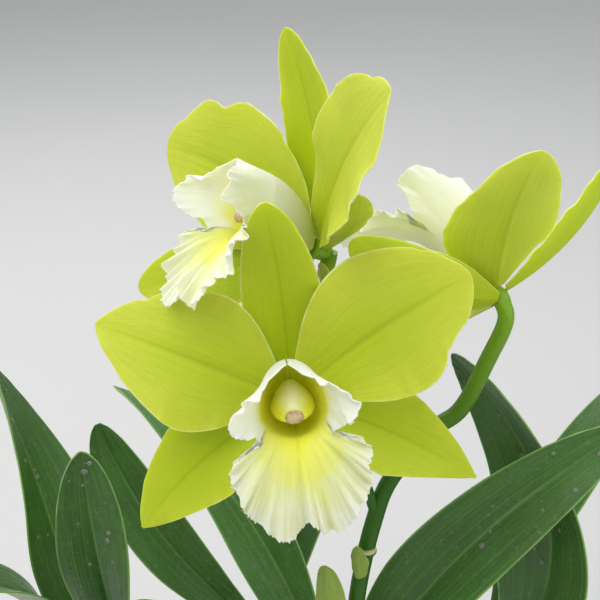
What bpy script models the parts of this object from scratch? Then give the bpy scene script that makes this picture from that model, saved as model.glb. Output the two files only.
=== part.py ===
"""A cattleya orchid in flower, growing in bark in its nursery pot.

Three green blooms with white lips stand on one stem, which rises from the
front pseudobulb between its two leaves. A creeping rhizome joins the
pseudobulbs, and its roots run over the bark.

Lengths are in metres and angles in degrees. The origin is the middle of the
pot's underside, +Z is up and the front bloom looks towards -Y. Each sheet,
such as a petal or a leaf, is a grid of points worked out from a few sizes and
then given its thickness.
"""

import math
import random
from dataclasses import dataclass

import bmesh
import bpy
import numpy as np
from mathutils import Matrix, Vector

# Pot
POT_HEIGHT = 0.140
POT_BASE_RADIUS = 0.058
POT_TOP_RADIUS = 0.076
POT_WALL = 0.002
RIM_RADIUS = 0.080
RIM_HEIGHT = 0.012
FOOT_RECESS = 0.003
FOOT_DISC_RADIUS = 0.018
FOOT_RING_RADIUS = 0.050
POT_FLOOR = 0.0055
DRAIN_HOLES = 6
DRAIN_RADIUS = 0.006
DRAIN_RING_RADIUS = 0.034
POT_SIDES = 32

# Bark
BARK_TOP = 0.120
CHIP_COUNT = 34
CHIP_LENGTH = (0.013, 0.024)
CHIP_WIDTH = (0.008, 0.014)
CHIP_THICKNESS = (0.005, 0.008)
CHIP_SPREAD = 0.060
BARK_SEED = 11

# Rhizome and roots
RHIZOME_RADIUS = 0.0050
RHIZOME_HEIGHT = 0.1245
ROOT_RADIUS = 0.0021
# Each root's start and heading from +X, and how far out and up each root then runs.
ROOTS = (
    (-0.038, -0.004, 250),
    (-0.020, 0.032, 75),
    (0.030, -0.014, 250),
    (0.046, 0.016, 290),
    (0.012, 0.028, 30),
    (-0.044, 0.026, 105),
)
ROOT_REACH = ((0.0, 0.0), (0.009, 0.0010), (0.016, -0.0010), (0.020, -0.0080))
PAD_TOP = 0.1310
PAD_RADIUS = 0.0065

# Gaps and thicknesses
SEAT = 0.0003
BARK_CLEARANCE = 0.0006
TEPAL_THICKNESS = 0.0009
LIP_THICKNESS = 0.0008
LEAF_THICKNESS = 0.0018
BRACT_THICKNESS = 0.0010
TIP_HALF_WIDTH = 0.0007
MIDRIB_ROUNDING = 0.001

# A direction that no stem, root or knob points in, to start its rings from.
OFF_AXIS = (0.31, 0.85, 0.42)

# Flower
RECEPTACLE_RADIUS = 0.0036
RECEPTACLE_FRONT = 0.0036
RECEPTACLE_BACK = -0.006
SEPAL_SEAT_RADIUS = 0.0041
PETAL_RISE = 0.0032
STEM_RADIUS = 0.0034
PEDICEL_RADIUS = 0.0021
OVARY_RADIUS = 0.0029
COLUMN_FOOT_FORWARD = 0.0044
COLUMN_LENGTH = 0.0295
CAP_GAP = 0.0004


@dataclass
class Blade:
    """A flat outline bent along its midrib. Two-number angles run from base to tip."""

    length: float
    half_width: float
    claw: float = 0.0034
    peak: float = 0.45
    tip: float = 1.7
    pitch: tuple = (12, 12)
    yaw: float = 0
    twist: tuple = (0, 0)
    fold: tuple = (14, 4)
    cup: float = 0.05
    ruffle: tuple = (0, 2.5, 0)
    clock: float = 0


@dataclass
class Bloom:
    """Where a flower stands, the way it faces, and its five tepals."""

    place: tuple
    face: tuple
    top: tuple
    lip_turn: tuple
    lip_lift: float
    lip_scale: float
    dorsal_sepal: Blade
    left_petal: Blade
    right_petal: Blade
    left_lateral_sepal: Blade
    right_lateral_sepal: Blade


def sepal(clock, pitch, yaw, twist, length=0.075, half_width=0.0145, **more):
    """One of the three narrower, outer tepals."""
    return Blade(length, half_width, pitch=pitch, yaw=yaw, twist=twist, clock=clock, **more)


def petal(clock, pitch, yaw, twist, length=0.074, half_width=0.0245, **more):
    """One of the two broad, inner tepals, with a slightly waved edge."""
    shape = dict(claw=0.0036, peak=0.52, tip=2.3, fold=(12, 2), cup=0.04)
    shape.update(more)
    return Blade(length, half_width, pitch=pitch, yaw=yaw, twist=twist, clock=clock, **shape)


BLOOMS = {
    "front": Bloom(
        place=(-0.0033, -0.0450, 0.4000),
        face=(-0.020, -0.916, 0.400),
        top=(-0.141, 0.398, 0.906),
        lip_turn=(0, 3),
        lip_lift=0,
        lip_scale=1.0,
        dorsal_sepal=sepal(5, (5, 45), -8, (1, 5), 0.0712, 0.0136, fold=(4, 4)),
        left_petal=petal(
            -57.5, (10, -5), -6, (8, -16), 0.0675, 0.0244, peak=0.44, tip=1.4, ruffle=(0.0009, 2.2, 0.4)
        ),
        right_petal=petal(
            55, (11, 22), 14, (-7, 6), 0.0735, 0.0256, peak=0.54, tip=1.5, ruffle=(0.0009, 2.6, 2.0)
        ),
        left_lateral_sepal=sepal(-112, (-1, -21), -26, (-7, -12), 0.0705, 0.0162, peak=0.47, tip=1.3),
        right_lateral_sepal=sepal(114, (-8, -16), 19, (7, 11), 0.0700, 0.0154, peak=0.50, tip=1.15),
    ),
    "upper": Bloom(
        place=(0.0072, -0.0146, 0.4421),
        face=(-0.771, -0.490, 0.407),
        top=(0.119, 0.517, 0.848),
        lip_turn=(13, -6.5),
        lip_lift=22,
        lip_scale=0.985,
        dorsal_sepal=sepal(-1, (7, 36), 2, (0, 1), 0.0745, 0.0145, tip=1.8, fold=(2, 4)),
        left_petal=petal(
            -44, (13, 25), -35, (4, 6), 0.0758, 0.0258, peak=0.47, tip=1.85, ruffle=(0.0011, 2.6, 1.0)
        ),
        right_petal=petal(
            47, (29, 15), 20, (10, 6), 0.0790, 0.0250, peak=0.57, tip=1.4, ruffle=(0.0012, 3.0, 0.0)
        ),
        left_lateral_sepal=sepal(-98, (11, 28), -11, (2, 7), 0.0780, 0.0147, tip=1.9, fold=(4, 4)),
        right_lateral_sepal=sepal(
            92, (13, 55), -15, (-4, 2), 0.0570, 0.0083, claw=0.0028, peak=0.45, tip=1.15, fold=(36, 26)
        ),
    ),
    "right": Bloom(
        place=(0.0764, 0.0154, 0.4084),
        face=(-0.760, 0.495, 0.421),
        top=(0.618, 0.351, 0.703),
        lip_turn=(8, 0),
        lip_lift=42,
        lip_scale=1.08,
        dorsal_sepal=sepal(-9, (-20, 21), 2, (0, 10), 0.0770, 0.0139, tip=1.8, fold=(20, 14)),
        left_petal=petal(-58, (24, 28), -6, (4, 0), 0.0730, 0.0240, ruffle=(0.0010, 2.4, 1.4)),
        right_petal=petal(
            60, (16, -2), -12, (36, 37), 0.0705, 0.0226, peak=0.42, tip=1.6, ruffle=(0.0008, 2.0, 0.6)
        ),
        left_lateral_sepal=sepal(-122, (22, 20), -8, (-4, -6)),
        right_lateral_sepal=sepal(119, (21, 50), -23, (-1, -1), 0.0770, 0.0128, tip=1.85),
    ),
}

# Half of the lip's margin in the flower's own axes, from the notch at its foot,
# round the middle lobe and the side lobe to the seam above the column. Each row
# is across, up and forward.
MIDDLE_LOBE_MARGIN = (
    (0.0000, -0.0348, 0.0370),
    (0.0035, -0.0390, 0.0360),
    (0.0070, -0.0410, 0.0355),
    (0.0120, -0.0385, 0.0360),
    (0.0175, -0.0325, 0.0380),
    (0.0210, -0.0255, 0.0400),
    (0.0223, -0.0180, 0.0420),
    (0.0210, -0.0115, 0.0425),
    (0.0160, -0.0083, 0.0410),
    (0.0110, -0.0088, 0.0375),
)
SIDE_LOBE_MARGIN = (
    (0.0110, -0.0088, 0.0375),
    (0.0138, -0.0060, 0.0395),
    (0.0160, -0.0052, 0.0410),
    (0.0196, -0.0028, 0.0420),
    (0.0195, 0.0012, 0.0425),
    (0.0165, 0.0052, 0.0430),
    (0.0118, 0.0074, 0.0430),
    (0.0062, 0.0112, 0.0435),
    (0.0012, 0.0160, 0.0430),
)
THROAT_FORWARD = 0.030
THROAT_ACROSS = 0.0110
THROAT_BELOW = 0.0090
THROAT_ABOVE = 0.0145
LIP_FOOT_RADIUS = 0.0033
LIP_FOOT_FORWARD = 0.0057
SINUS_ANGLE = 63
SEAM_ANGLE = 174
THROAT_SHARE = 0.45
SINUS_HINGE = (-0.009, 0.036)
LIP_RUFFLE = 0.0016
MIDDLE_LOBE_CELLS = 20
SIDE_LOBE_CELLS = 6
LIP_ROWS = 7

# Pseudobulbs: foot on the rhizome, top, and widest radius.
PSEUDOBULBS = {
    "pseudobulb_1": ((0.030, -0.014), (0.0200, 0.0020, 0.2150), 0.0135),
    "pseudobulb_2": ((0.046, 0.016), (0.0880, 0.0280, 0.2210), 0.0125),
    "pseudobulb_3": ((-0.038, -0.004), (-0.0780, 0.0040, 0.2230), 0.0130),
    "pseudobulb_4": ((-0.044, 0.026), (-0.0980, 0.0240, 0.2200), 0.0120),
    "pseudobulb_5": ((-0.006, 0.034), (-0.0160, 0.0600, 0.2050), 0.0125),
}
BULB_TOP_RADIUS = 0.0085
BULB_FOOT_RADIUS = 0.0055
BULB_SIDES = 12
BULB_RIDGE = 0.06
BULB_RINGS = (
    (0.0, 0.0),
    (0.12, 0.35),
    (0.32, 0.80),
    (0.55, 1.0),
    (0.78, 0.82),
    (0.94, 0.35),
    (1.0, 0.0),
)

# Leaves: foot, heading from the back (+Y) towards +X, and the blade. The foot
# of each leaf sits on the top of its pseudobulb.
LEAVES = {
    "leaf_1_right": (
        (0.0272, 0.0035, 0.2164),
        105,
        Blade(0.180, 0.0202, 0.0045, 0.40, 1.7, (76, 31), -26, (-43, -60), (32, 10)),
    ),
    "leaf_1_left": (
        (0.0135, 0.0070, 0.2158),
        -37,
        Blade(0.180, 0.0156, 0.0045, 0.40, 1.5, (60, 9), -16, (73, -21), (32, 10)),
    ),
    "leaf_2_front": (
        (0.0888, 0.0222, 0.2236),
        112,
        Blade(0.168, 0.0230, 0.0045, 0.41, 2.0, (52, 155), 18, (-94, -66), (32, 10)),
    ),
    "leaf_2_back": (
        (0.0900, 0.0335, 0.2222),
        48,
        Blade(0.165, 0.0175, 0.0045, 0.45, 1.7, (68, 24), 8, (10, 0), (32, 10)),
    ),
    "leaf_3_front": (
        (-0.0830, -0.0005, 0.2242),
        197,
        Blade(0.165, 0.0150, 0.0045, 0.50, 1.3, (72, 12), -100, (0, -20), (32, 10)),
    ),
    "leaf_3_back": (
        (-0.0735, 0.0085, 0.2242),
        32,
        Blade(0.134, 0.0165, 0.0045, 0.51, 1.9, (106, 94), -12, (27, -36), (32, 10)),
    ),
    "leaf_4_left": (
        (-0.0985, 0.0318, 0.2212),
        -59,
        Blade(0.150, 0.0205, 0.0045, 0.48, 1.6, (80, 72), -19, (56, -34), (32, 10)),
    ),
    "leaf_4_front": (
        (-0.1040, 0.0170, 0.2212),
        226,
        Blade(0.130, 0.0150, 0.0045, 0.50, 1.7, (86, 7), -3, (-11, 17), (32, 10)),
    ),
    "leaf_5_left": (
        (-0.0215, 0.0605, 0.2076),
        -93,
        Blade(0.135, 0.0150, 0.0045, 0.54, 1.9, (44, 74), 8, (63, 78), (32, 10)),
    ),
    "leaf_5_back": (
        (-0.0110, 0.0620, 0.2058),
        28,
        Blade(0.170, 0.0175, 0.0045, 0.45, 1.7, (74, 28), 10, (0, -10), (32, 10)),
    ),
}

# Stem: the way of the main stem to the right bloom, and of the two branches.
STEM_WAY = (
    (0.0215, -0.0010, 0.2159),
    (0.0213, -0.0050, 0.2420),
    (0.0222, -0.0095, 0.2700),
    (0.0243, -0.0115, 0.2960),
    (0.0290, -0.0085, 0.3200),
    (0.0354, -0.0032, 0.3367),
    (0.0506, 0.0003, 0.3569),
    (0.0625, 0.0030, 0.3660),
    (0.0725, 0.0085, 0.3850),
    (0.0785, 0.0105, 0.4010),
)
FRONT_BRANCH = ((0.0300, -0.0080, 0.3230), (0.0220, -0.0080, 0.3480), (0.0080, -0.0120, 0.3730))
UPPER_BRANCH = ((0.0370, -0.0030, 0.3400), (0.0340, 0.0000, 0.3740), (0.0200, -0.0060, 0.4040))
UPPER_BEND = (0.0100, -0.0125, 0.4290)
STEM_SIDES = 10
RING_PLACE = (0.0262, -0.0105, 0.3080)
RING_HEIGHT = 0.0022
RING_STAND_OUT = 0.0010

# Sheath and bracts
SHEATH = (
    (0.0168, -0.0056, 0.2162),
    205,
    Blade(0.094, 0.0098, 0.0034, 0.50, 2.0, (74, 85), fold=(36, 34)),
)
STEM_BRACT = (
    (0.0232, -0.0162, 0.2990),
    205,
    Blade(0.017, 0.0044, 0.0030, 0.40, 1.6, (80, 84), fold=(34, 30)),
)
FLOWER_BRACT = (
    (0.0092, -0.0166, 0.4240),
    214,
    Blade(0.016, 0.0040, 0.0028, 0.40, 1.6, (82, 70), fold=(34, 20)),
)

COLOURS = {
    "pot": ("black_nursery_plastic", "1B1B1D", 0.45),
    "bark": ("bark_chips", "5B3A24", 0.95),
    "rhizome": ("rhizome_skin", "7C7A4A", 0.80),
    "pseudobulb": ("pseudobulb_skin", "6E8A3A", 0.60),
    "leaf": ("leaf_green", "2E5B22", 0.45),
    "stem": ("stem_green", "6FA320", 0.45),
    "sheath": ("sheath_green", "8AA63C", 0.55),
    "tepal": ("tepal_chartreuse", "B9D52A", 0.50),
    "lip": ("lip_white", "F2F4D8", 0.55),
    "column": ("column_cream", "EFE98A", 0.45),
    "anther": ("anther_cap", "DCC79A", 0.60),
}


def srgb_to_linear(value):
    """One sRGB channel, 0 to 1, as a linear value."""
    return value / 12.92 if value <= 0.04045 else ((value + 0.055) / 1.055) ** 2.4


def paint(thing, finish):
    """Gives an object its own Principled material."""
    name, colour, roughness = COLOURS[finish]
    made = bpy.data.materials.new(f"{name}_{thing.name}")
    made.use_nodes = True
    shader = made.node_tree.nodes["Principled BSDF"]
    channels = [srgb_to_linear(int(colour[i : i + 2], 16) / 255) for i in (0, 2, 4)]
    shader.inputs["Base Color"].default_value = (*channels, 1)
    shader.inputs["Roughness"].default_value = roughness
    shader.inputs["Metallic"].default_value = 0
    thing.data.materials.clear()
    thing.data.materials.append(made)


def add_object(name, points, faces):
    """A mesh object with these points and faces, shaded smooth."""
    mesh = bpy.data.meshes.new(name)
    mesh.from_pydata([tuple(point) for point in points], [], [tuple(map(int, face)) for face in faces])
    mesh.validate()
    mesh.shade_smooth()
    thing = bpy.data.objects.new(name, mesh)
    bpy.context.scene.collection.objects.link(thing)
    return thing


def join_or_cut(thing, others, operation):
    """One Boolean of a collection of closed shapes on an object, applied, with the shapes then removed."""
    helpers = bpy.data.collections.new(f"{thing.name}_shapes")
    bpy.context.scene.collection.children.link(helpers)
    for other in others:
        bpy.context.scene.collection.objects.unlink(other)
        helpers.objects.link(other)
        other.hide_render = True
        other.display_type = "WIRE"
    joined = thing.modifiers.new("Shapes", "BOOLEAN")
    joined.operation = operation
    joined.operand_type = "COLLECTION"
    joined.collection = helpers
    joined.solver = "MANIFOLD"
    bpy.context.view_layer.update()
    seen = thing.evaluated_get(bpy.context.evaluated_depsgraph_get())
    made = bpy.data.meshes.new_from_object(seen)
    thing.modifiers.remove(joined)
    thing.data = made
    for other in others:
        bpy.data.objects.remove(other)
    bpy.data.collections.remove(helpers)


def keep_largest(thing):
    """Drops the loose scraps that a cut leaves, and keeps the largest body."""
    shape = bmesh.new()
    shape.from_mesh(thing.data)
    waiting = set(shape.verts)
    bodies = []
    while waiting:
        reached = [waiting.pop()]
        body = list(reached)
        while reached:
            for edge in reached.pop().link_edges:
                for corner in edge.verts:
                    if corner in waiting:
                        waiting.remove(corner)
                        reached.append(corner)
                        body.append(corner)
        bodies.append(body)
    bodies.sort(key=len)
    for body in bodies[:-1]:
        bmesh.ops.delete(shape, geom=body, context="VERTS")
    shape.to_mesh(thing.data)
    shape.free()


def unit(direction):
    """The direction at length 1."""
    direction = np.asarray(direction, float)
    return direction / np.linalg.norm(direction)


def axes_of(face, top):
    """Columns right, up and forward of a flower that faces one way with its top another."""
    forward = unit(face)
    up = unit(np.asarray(top) - np.dot(top, forward) * forward)
    return np.stack([np.cross(up, forward), up, forward], axis=1)


def grid_triangles(rows, columns):
    """Two triangles for each cell of a grid, all split along the same diagonal."""
    row, column = np.meshgrid(np.arange(rows - 1), np.arange(columns - 1), indexing="ij")
    corner = (row * columns + column).ravel()
    near = np.stack([corner, corner + 1, corner + columns + 1], axis=1)
    far = np.stack([corner, corner + columns + 1, corner + columns], axis=1)
    return np.concatenate([near, far])


def add_sheet(name, grid, thickness, finish):
    """A thin solid whose middle is a grid of points. Solidify gives both faces the grid's triangles."""
    rows, columns = grid.shape[:2]
    sheet = add_object(name, grid.reshape(-1, 3), grid_triangles(rows, columns))
    wall = sheet.modifiers.new("Thickness", "SOLIDIFY")
    wall.thickness = thickness
    wall.offset = 0
    paint(sheet, finish)
    return sheet


def half_width(shape, share):
    """Half of the blade's width at each share of its length.

    It is a sine up to the widest place, then a power curve to the tip.
    """
    rise = shape.claw + (shape.half_width - shape.claw) * np.sin(
        math.pi / 2 * np.clip(share / shape.peak, 0, 1)
    )
    past = np.clip((share - shape.peak) / (1 - shape.peak), 0, 1)
    fall = shape.half_width * np.maximum(1 - past**shape.tip, 0) ** (1 / min(shape.tip, 2))
    return np.maximum(np.where(share < shape.peak, rise, fall), TIP_HALF_WIDTH)


def angles_between(ends, share):
    """Angles in radians that run evenly between two in degrees."""
    return np.radians(ends[0] + (ends[1] - ends[0]) * share)


def blade_grid(shape, rows, columns):
    """Points of a blade that starts at the origin along +Y, with its upper side towards +Z.

    The midrib is the sum of short steps whose pitch and yaw change evenly along
    it. Across it, each side is straight, turned by the twist, lifted by the
    fold and curled by the cup, and the edge is waved by the ruffle.
    """
    share = 1 - (1 - np.linspace(0, 1, rows)) ** 1.5
    pitch = angles_between(shape.pitch, share)
    yaw = angles_between((0, shape.yaw), share)
    twist = angles_between(shape.twist, share)
    fold = angles_between(shape.fold, share)
    along = np.stack([np.sin(yaw) * np.cos(pitch), np.cos(yaw) * np.cos(pitch), np.sin(pitch)], axis=1)
    aside = np.stack([np.cos(yaw), -np.sin(yaw), np.zeros(rows)], axis=1)
    above = np.cross(aside, along)
    steps = (along[1:] + along[:-1]) / 2 * (np.diff(share) * shape.length)[:, None]
    middle = np.concatenate([np.zeros((1, 3)), np.cumsum(steps, axis=0)])
    turned = aside * np.cos(twist)[:, None] + above * np.sin(twist)[:, None]
    raised = above * np.cos(twist)[:, None] - aside * np.sin(twist)[:, None]
    across = np.linspace(-1, 1, columns)
    offset = half_width(shape, share)[:, None] * across
    lift = np.sqrt(offset**2 + MIDRIB_ROUNDING**2) - MIDRIB_ROUNDING
    lift = lift * np.sin(fold)[:, None]
    lift = lift + shape.cup * offset**2 / shape.half_width
    height, waves, phase = shape.ruffle
    wave = np.sin(2 * math.pi * waves * share[:, None] + phase + np.where(across > 0, 1.3, 0))
    lift = lift + height * across**2 * wave * np.sqrt(np.sin(math.pi * share))[:, None]
    offset = offset * np.cos(fold)[:, None]
    return middle[:, None] + offset[..., None] * turned[:, None] + lift[..., None] * raised[:, None]


def turned_about_z(points, degrees):
    """Points turned clockwise, seen from above, so that +Y goes towards +X."""
    angle = math.radians(degrees)
    turn = np.array(
        [[math.cos(angle), -math.sin(angle), 0], [math.sin(angle), math.cos(angle), 0], [0, 0, 1]]
    )
    return points @ turn


def tepal_grid(bloom, shape, rise, rows, columns):
    """A tepal's points in the world, seated on the side of the bloom's receptacle."""
    grid = blade_grid(shape, rows, columns) + np.array([0, SEPAL_SEAT_RADIUS, rise])
    grid = turned_about_z(grid, shape.clock)
    return np.array(bloom.place) + grid @ axes_of(bloom.face, bloom.top).T


def smooth_through(points, shares):
    """Points at shares 0 to 1 of a smooth curve through the given points (Catmull-Rom)."""
    points = np.asarray(points, float)
    padded = np.concatenate([[2 * points[0] - points[1]], points, [2 * points[-1] - points[-2]]])
    reach = np.concatenate([[0], np.cumsum(np.linalg.norm(np.diff(points, axis=0), axis=1))])
    place = np.interp(np.asarray(shares) * reach[-1], reach, np.arange(len(points)))
    start = np.minimum(place.astype(int), len(points) - 2)
    t = (place - start)[:, None]
    p0, p1, p2, p3 = (padded[start + k] for k in range(4))
    return 0.5 * (
        2 * p1 + (p2 - p0) * t + (2 * p0 - 5 * p1 + 4 * p2 - p3) * t**2 + (3 * p1 - p0 - 3 * p2 + p3) * t**3
    )


def lift_middle_lobe(points, freedom, degrees):
    """Turns the middle lobe up about the hinge at the sinus, less towards the sinus itself."""
    angle = np.radians(degrees) * freedom
    up = points[..., 1] - SINUS_HINGE[0]
    forward = points[..., 2] - SINUS_HINGE[1]
    turned = points.copy()
    turned[..., 1] = SINUS_HINGE[0] + up * np.cos(angle) + forward * np.sin(angle)
    turned[..., 2] = SINUS_HINGE[1] - up * np.sin(angle) + forward * np.cos(angle)
    return turned


def half_lip(lobe, margin, angles, cells, rows, lift):
    """One lobe's half of the lip, as columns of points from the lip's foot out to its margin.

    Each column leaves a small ring at the foot, widens with the throat round
    the column, and bends as a quadratic curve out to its place on the margin.
    """
    shares = np.linspace(0, 1, cells + 1)
    edge = smooth_through(margin, shares)
    angle = np.radians(angles[0] + (angles[1] - angles[0]) * shares)
    side = np.sin(angle)
    drop = np.cos(angle)
    below = np.where(drop > 0, THROAT_BELOW, THROAT_ABOVE)
    mouth = np.stack([THROAT_ACROSS * side, -below * drop, np.full(cells + 1, THROAT_FORWARD)], axis=1)
    foot = np.stack(
        [LIP_FOOT_RADIUS * side, -LIP_FOOT_RADIUS * drop, np.full(cells + 1, LIP_FOOT_FORWARD)], axis=1
    )
    bend = mouth + np.array([0, 0, 0.009])
    if lobe == "middle":
        freedom = np.sqrt(np.clip(1 - shares, 0, 1))
        bend = bend + np.stack([0.15 * mouth[:, 0], -0.001 * freedom, 0.002 * freedom], axis=1)
        edge = lift_middle_lobe(edge, freedom, lift)
    share = np.linspace(0, 1, rows + 1)[:, None, None]
    tube = np.clip(share / THROAT_SHARE, 0, 1)
    widen = np.sin(math.pi / 2 * tube**0.65)
    forward = np.array([0, 0, 1.0])
    throat = foot + (mouth - foot) * (widen * (1 - forward) + tube * forward)
    out = np.clip((share - THROAT_SHARE) / (1 - THROAT_SHARE), 0, 1)
    flare = (1 - out) ** 2 * mouth + 2 * out * (1 - out) * bend + out**2 * edge
    return np.where(share < THROAT_SHARE, throat, flare)


def surface_normals(grid):
    """The unit normal at each point of a grid."""
    normal = np.cross(np.gradient(grid, axis=1), np.gradient(grid, axis=0))
    return normal / np.maximum(np.linalg.norm(normal, axis=2, keepdims=True), 1e-12)


def lip_grid(bloom, middle_cells, side_cells, rows):
    """The whole lip in the flower's own axes, from one seam above the column round to the other."""
    turns = (0, SINUS_ANGLE)
    middle = half_lip("middle", MIDDLE_LOBE_MARGIN, turns, middle_cells // 2, rows, bloom.lip_lift)
    turns = (SINUS_ANGLE, SEAM_ANGLE)
    side = half_lip("side", SIDE_LOBE_MARGIN, turns, side_cells, rows, 0)
    half = np.concatenate([middle, side[:, 1:]], axis=1)
    other = half[:, :0:-1] * np.array([-1, 1, 1])
    grid = np.concatenate([other, half], axis=1)
    round_it = np.linspace(0, 1, grid.shape[1])
    outward = np.clip((np.linspace(0, 1, rows + 1) - 0.55) / 0.45, 0, 1) ** 1.4
    wave = np.sin(2 * math.pi * 11 * round_it + 0.6) + 0.5 * np.sin(2 * math.pi * 17 * round_it)
    calm = np.minimum(1, 12 * np.minimum(round_it, 1 - round_it))
    return grid + surface_normals(grid) * (LIP_RUFFLE * outward[:, None] * wave * calm)[..., None]


def lip_axes(bloom):
    """The bloom's axes turned up and aside for its lip and column."""
    up, aside = (math.radians(angle) for angle in bloom.lip_turn)
    turn_up = np.array(
        [[1, 0, 0], [0, math.cos(up), math.sin(up)], [0, -math.sin(up), math.cos(up)]]
    )
    turn_aside = np.array(
        [[math.cos(aside), 0, math.sin(aside)], [0, 1, 0], [-math.sin(aside), 0, math.cos(aside)]]
    )
    return axes_of(bloom.face, bloom.top) @ turn_aside @ turn_up


def in_bloom(bloom, points):
    """Points of the lip or the column placed in the world, scaled about their foot."""
    foot = np.array([0, 0, COLUMN_FOOT_FORWARD])
    return np.array(bloom.place) + (foot + (points - foot) * bloom.lip_scale) @ lip_axes(bloom).T


def ring_solid(name, rings, finish):
    """A closed solid through rings of points, with a fan of triangles at each end."""
    count, sides = rings.shape[:2]
    points = np.concatenate([rings.reshape(-1, 3), rings[:1].mean(axis=1), rings[-1:].mean(axis=1)])
    faces = []
    for ring in range(count - 1):
        for side in range(sides):
            a = ring * sides + side
            b = ring * sides + (side + 1) % sides
            faces.append((a, b, b + sides))
            faces.append((a, b + sides, a + sides))
    first = count * sides
    for side in range(sides):
        after = (side + 1) % sides
        faces.append((first, after, side))
        faces.append((first + 1, (count - 1) * sides + side, (count - 1) * sides + after))
    solid = add_object(name, points, faces)
    shape = bmesh.new()
    shape.from_mesh(solid.data)
    if shape.calc_volume(signed=True) < 0:
        bmesh.ops.reverse_faces(shape, faces=shape.faces)
    shape.to_mesh(solid.data)
    shape.free()
    if finish:
        paint(solid, finish)
    return solid


def tube_rings(way, radii, sides, per_span=1):
    """Rings round a smooth way, each square to it, with a radius that runs between the given ones."""
    shares = np.linspace(0, 1, (len(way) - 1) * per_span + 1)
    centres = smooth_through(way, shares)
    radius = np.interp(shares, np.linspace(0, 1, len(radii)), radii)
    heading = np.gradient(centres, axis=0)
    heading /= np.linalg.norm(heading, axis=1, keepdims=True)
    aside = unit(np.cross(heading[0], OFF_AXIS))
    angle = np.linspace(0, 2 * math.pi, sides, endpoint=False)
    rings = []
    for centre, direction, reach in zip(centres, heading, radius):
        aside = unit(aside - np.dot(aside, direction) * direction)
        above = np.cross(direction, aside)
        spokes = np.cos(angle)[:, None] * aside + np.sin(angle)[:, None] * above
        rings.append(centre + reach * spokes)
    return np.array(rings)


def column_rings(sides, count):
    """Rings of the flower's column: slim at the foot, winged and hooded at the front."""
    share = np.linspace(0, 1, count)
    forward = COLUMN_FOOT_FORWARD + COLUMN_LENGTH * share
    swell = np.sin(math.pi / 2 * np.clip(share / 0.72, 0, 1)) ** 0.9
    close = np.sqrt(np.maximum(1 - (np.clip((share - 0.72) / 0.28, 0, 1) * 0.86) ** 2, 0))
    across = (0.0020 + 0.0052 * swell) * close
    above = (0.0020 + 0.0044 * swell) * close
    below = (0.0020 + 0.0016 * swell) * close
    centre = 0.0016 * np.sin(math.pi * share) - 0.0016 * share
    angle = np.linspace(0, 2 * math.pi, sides, endpoint=False)
    height = np.where(np.sin(angle) > 0, above[:, None], below[:, None]) * np.sin(angle)
    return np.stack(
        [
            across[:, None] * np.cos(angle),
            centre[:, None] + height,
            np.repeat(forward[:, None], sides, axis=1),
        ],
        axis=2,
    )


def cap_rings(sides, count):
    """Rings of the anther cap, a small flattened dome at the column's front."""
    start = COLUMN_FOOT_FORWARD + COLUMN_LENGTH + CAP_GAP
    share = np.linspace(0.0, 0.94, count)
    reach = np.sqrt(1 - share**2)
    angle = np.linspace(0, 2 * math.pi, sides, endpoint=False)
    return np.stack(
        [
            0.0030 * reach[:, None] * np.cos(angle),
            -0.0018 + 0.0023 * reach[:, None] * np.sin(angle),
            np.repeat((start + 0.0024 * share)[:, None], sides, axis=1),
        ],
        axis=2,
    )


def make_bloom(name, bloom):
    """The five tepals, lip, column and anther cap of one bloom."""
    for part in ("dorsal_sepal", "left_lateral_sepal", "right_lateral_sepal"):
        grid = tepal_grid(bloom, getattr(bloom, part), 0, 9, 5)
        add_sheet(f"{name}_{part}", grid, TEPAL_THICKNESS, "tepal")
    for part in ("left_petal", "right_petal"):
        grid = tepal_grid(bloom, getattr(bloom, part), PETAL_RISE, 11, 7)
        add_sheet(f"{name}_{part}", grid, TEPAL_THICKNESS, "tepal")
    lip = in_bloom(bloom, lip_grid(bloom, MIDDLE_LOBE_CELLS, SIDE_LOBE_CELLS, LIP_ROWS))
    add_sheet(f"{name}_lip", lip, LIP_THICKNESS, "lip")
    ring_solid(f"{name}_column", in_bloom(bloom, column_rings(12, 8)), "column")
    ring_solid(f"{name}_anther_cap", in_bloom(bloom, cap_rings(8, 3)), "anther")


def receptacle(bloom, ovary_way):
    """The ovary behind a bloom, widening to the receptacle that its tepals sit on."""
    axes = axes_of(bloom.face, bloom.top)
    knob = np.array(
        [[0, 0, depth] for depth in (RECEPTACLE_BACK, RECEPTACLE_BACK / 2, 0, RECEPTACLE_FRONT)]
    )
    knob = np.array(bloom.place) + knob @ axes.T
    front = tube_rings(knob, (OVARY_RADIUS, RECEPTACLE_RADIUS, RECEPTACLE_RADIUS, RECEPTACLE_RADIUS), 12)
    back = knob[0] - 0.016 * axes[:, 2]
    way = list(ovary_way) + [tuple(back), tuple(knob[1])]
    branch = tube_rings(way, (PEDICEL_RADIUS, PEDICEL_RADIUS, OVARY_RADIUS), 8, per_span=2)
    return [ring_solid("receptacle", front, None), ring_solid("branch", branch, None)]


def knob(bloom):
    """A short plain receptacle for a bloom."""
    axes = axes_of(bloom.face, bloom.top)
    ends = [np.array(bloom.place) + axes[:, 2] * depth for depth in (RECEPTACLE_BACK, RECEPTACLE_FRONT)]
    return ring_solid("knob", tube_rings(ends, (RECEPTACLE_RADIUS, RECEPTACLE_RADIUS), 12), None)


def upper_branch():
    """The upper bloom's stalk, which hangs straight down from its receptacle."""
    bloom = BLOOMS["upper"]
    inside = np.array(bloom.place) - 0.004 * axes_of(bloom.face, bloom.top)[:, 2]
    way = [*UPPER_BRANCH, UPPER_BEND, tuple(inside)]
    branch = tube_rings(way, (PEDICEL_RADIUS, PEDICEL_RADIUS, OVARY_RADIUS), 8, per_span=2)
    return ring_solid("branch", branch, None)


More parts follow.
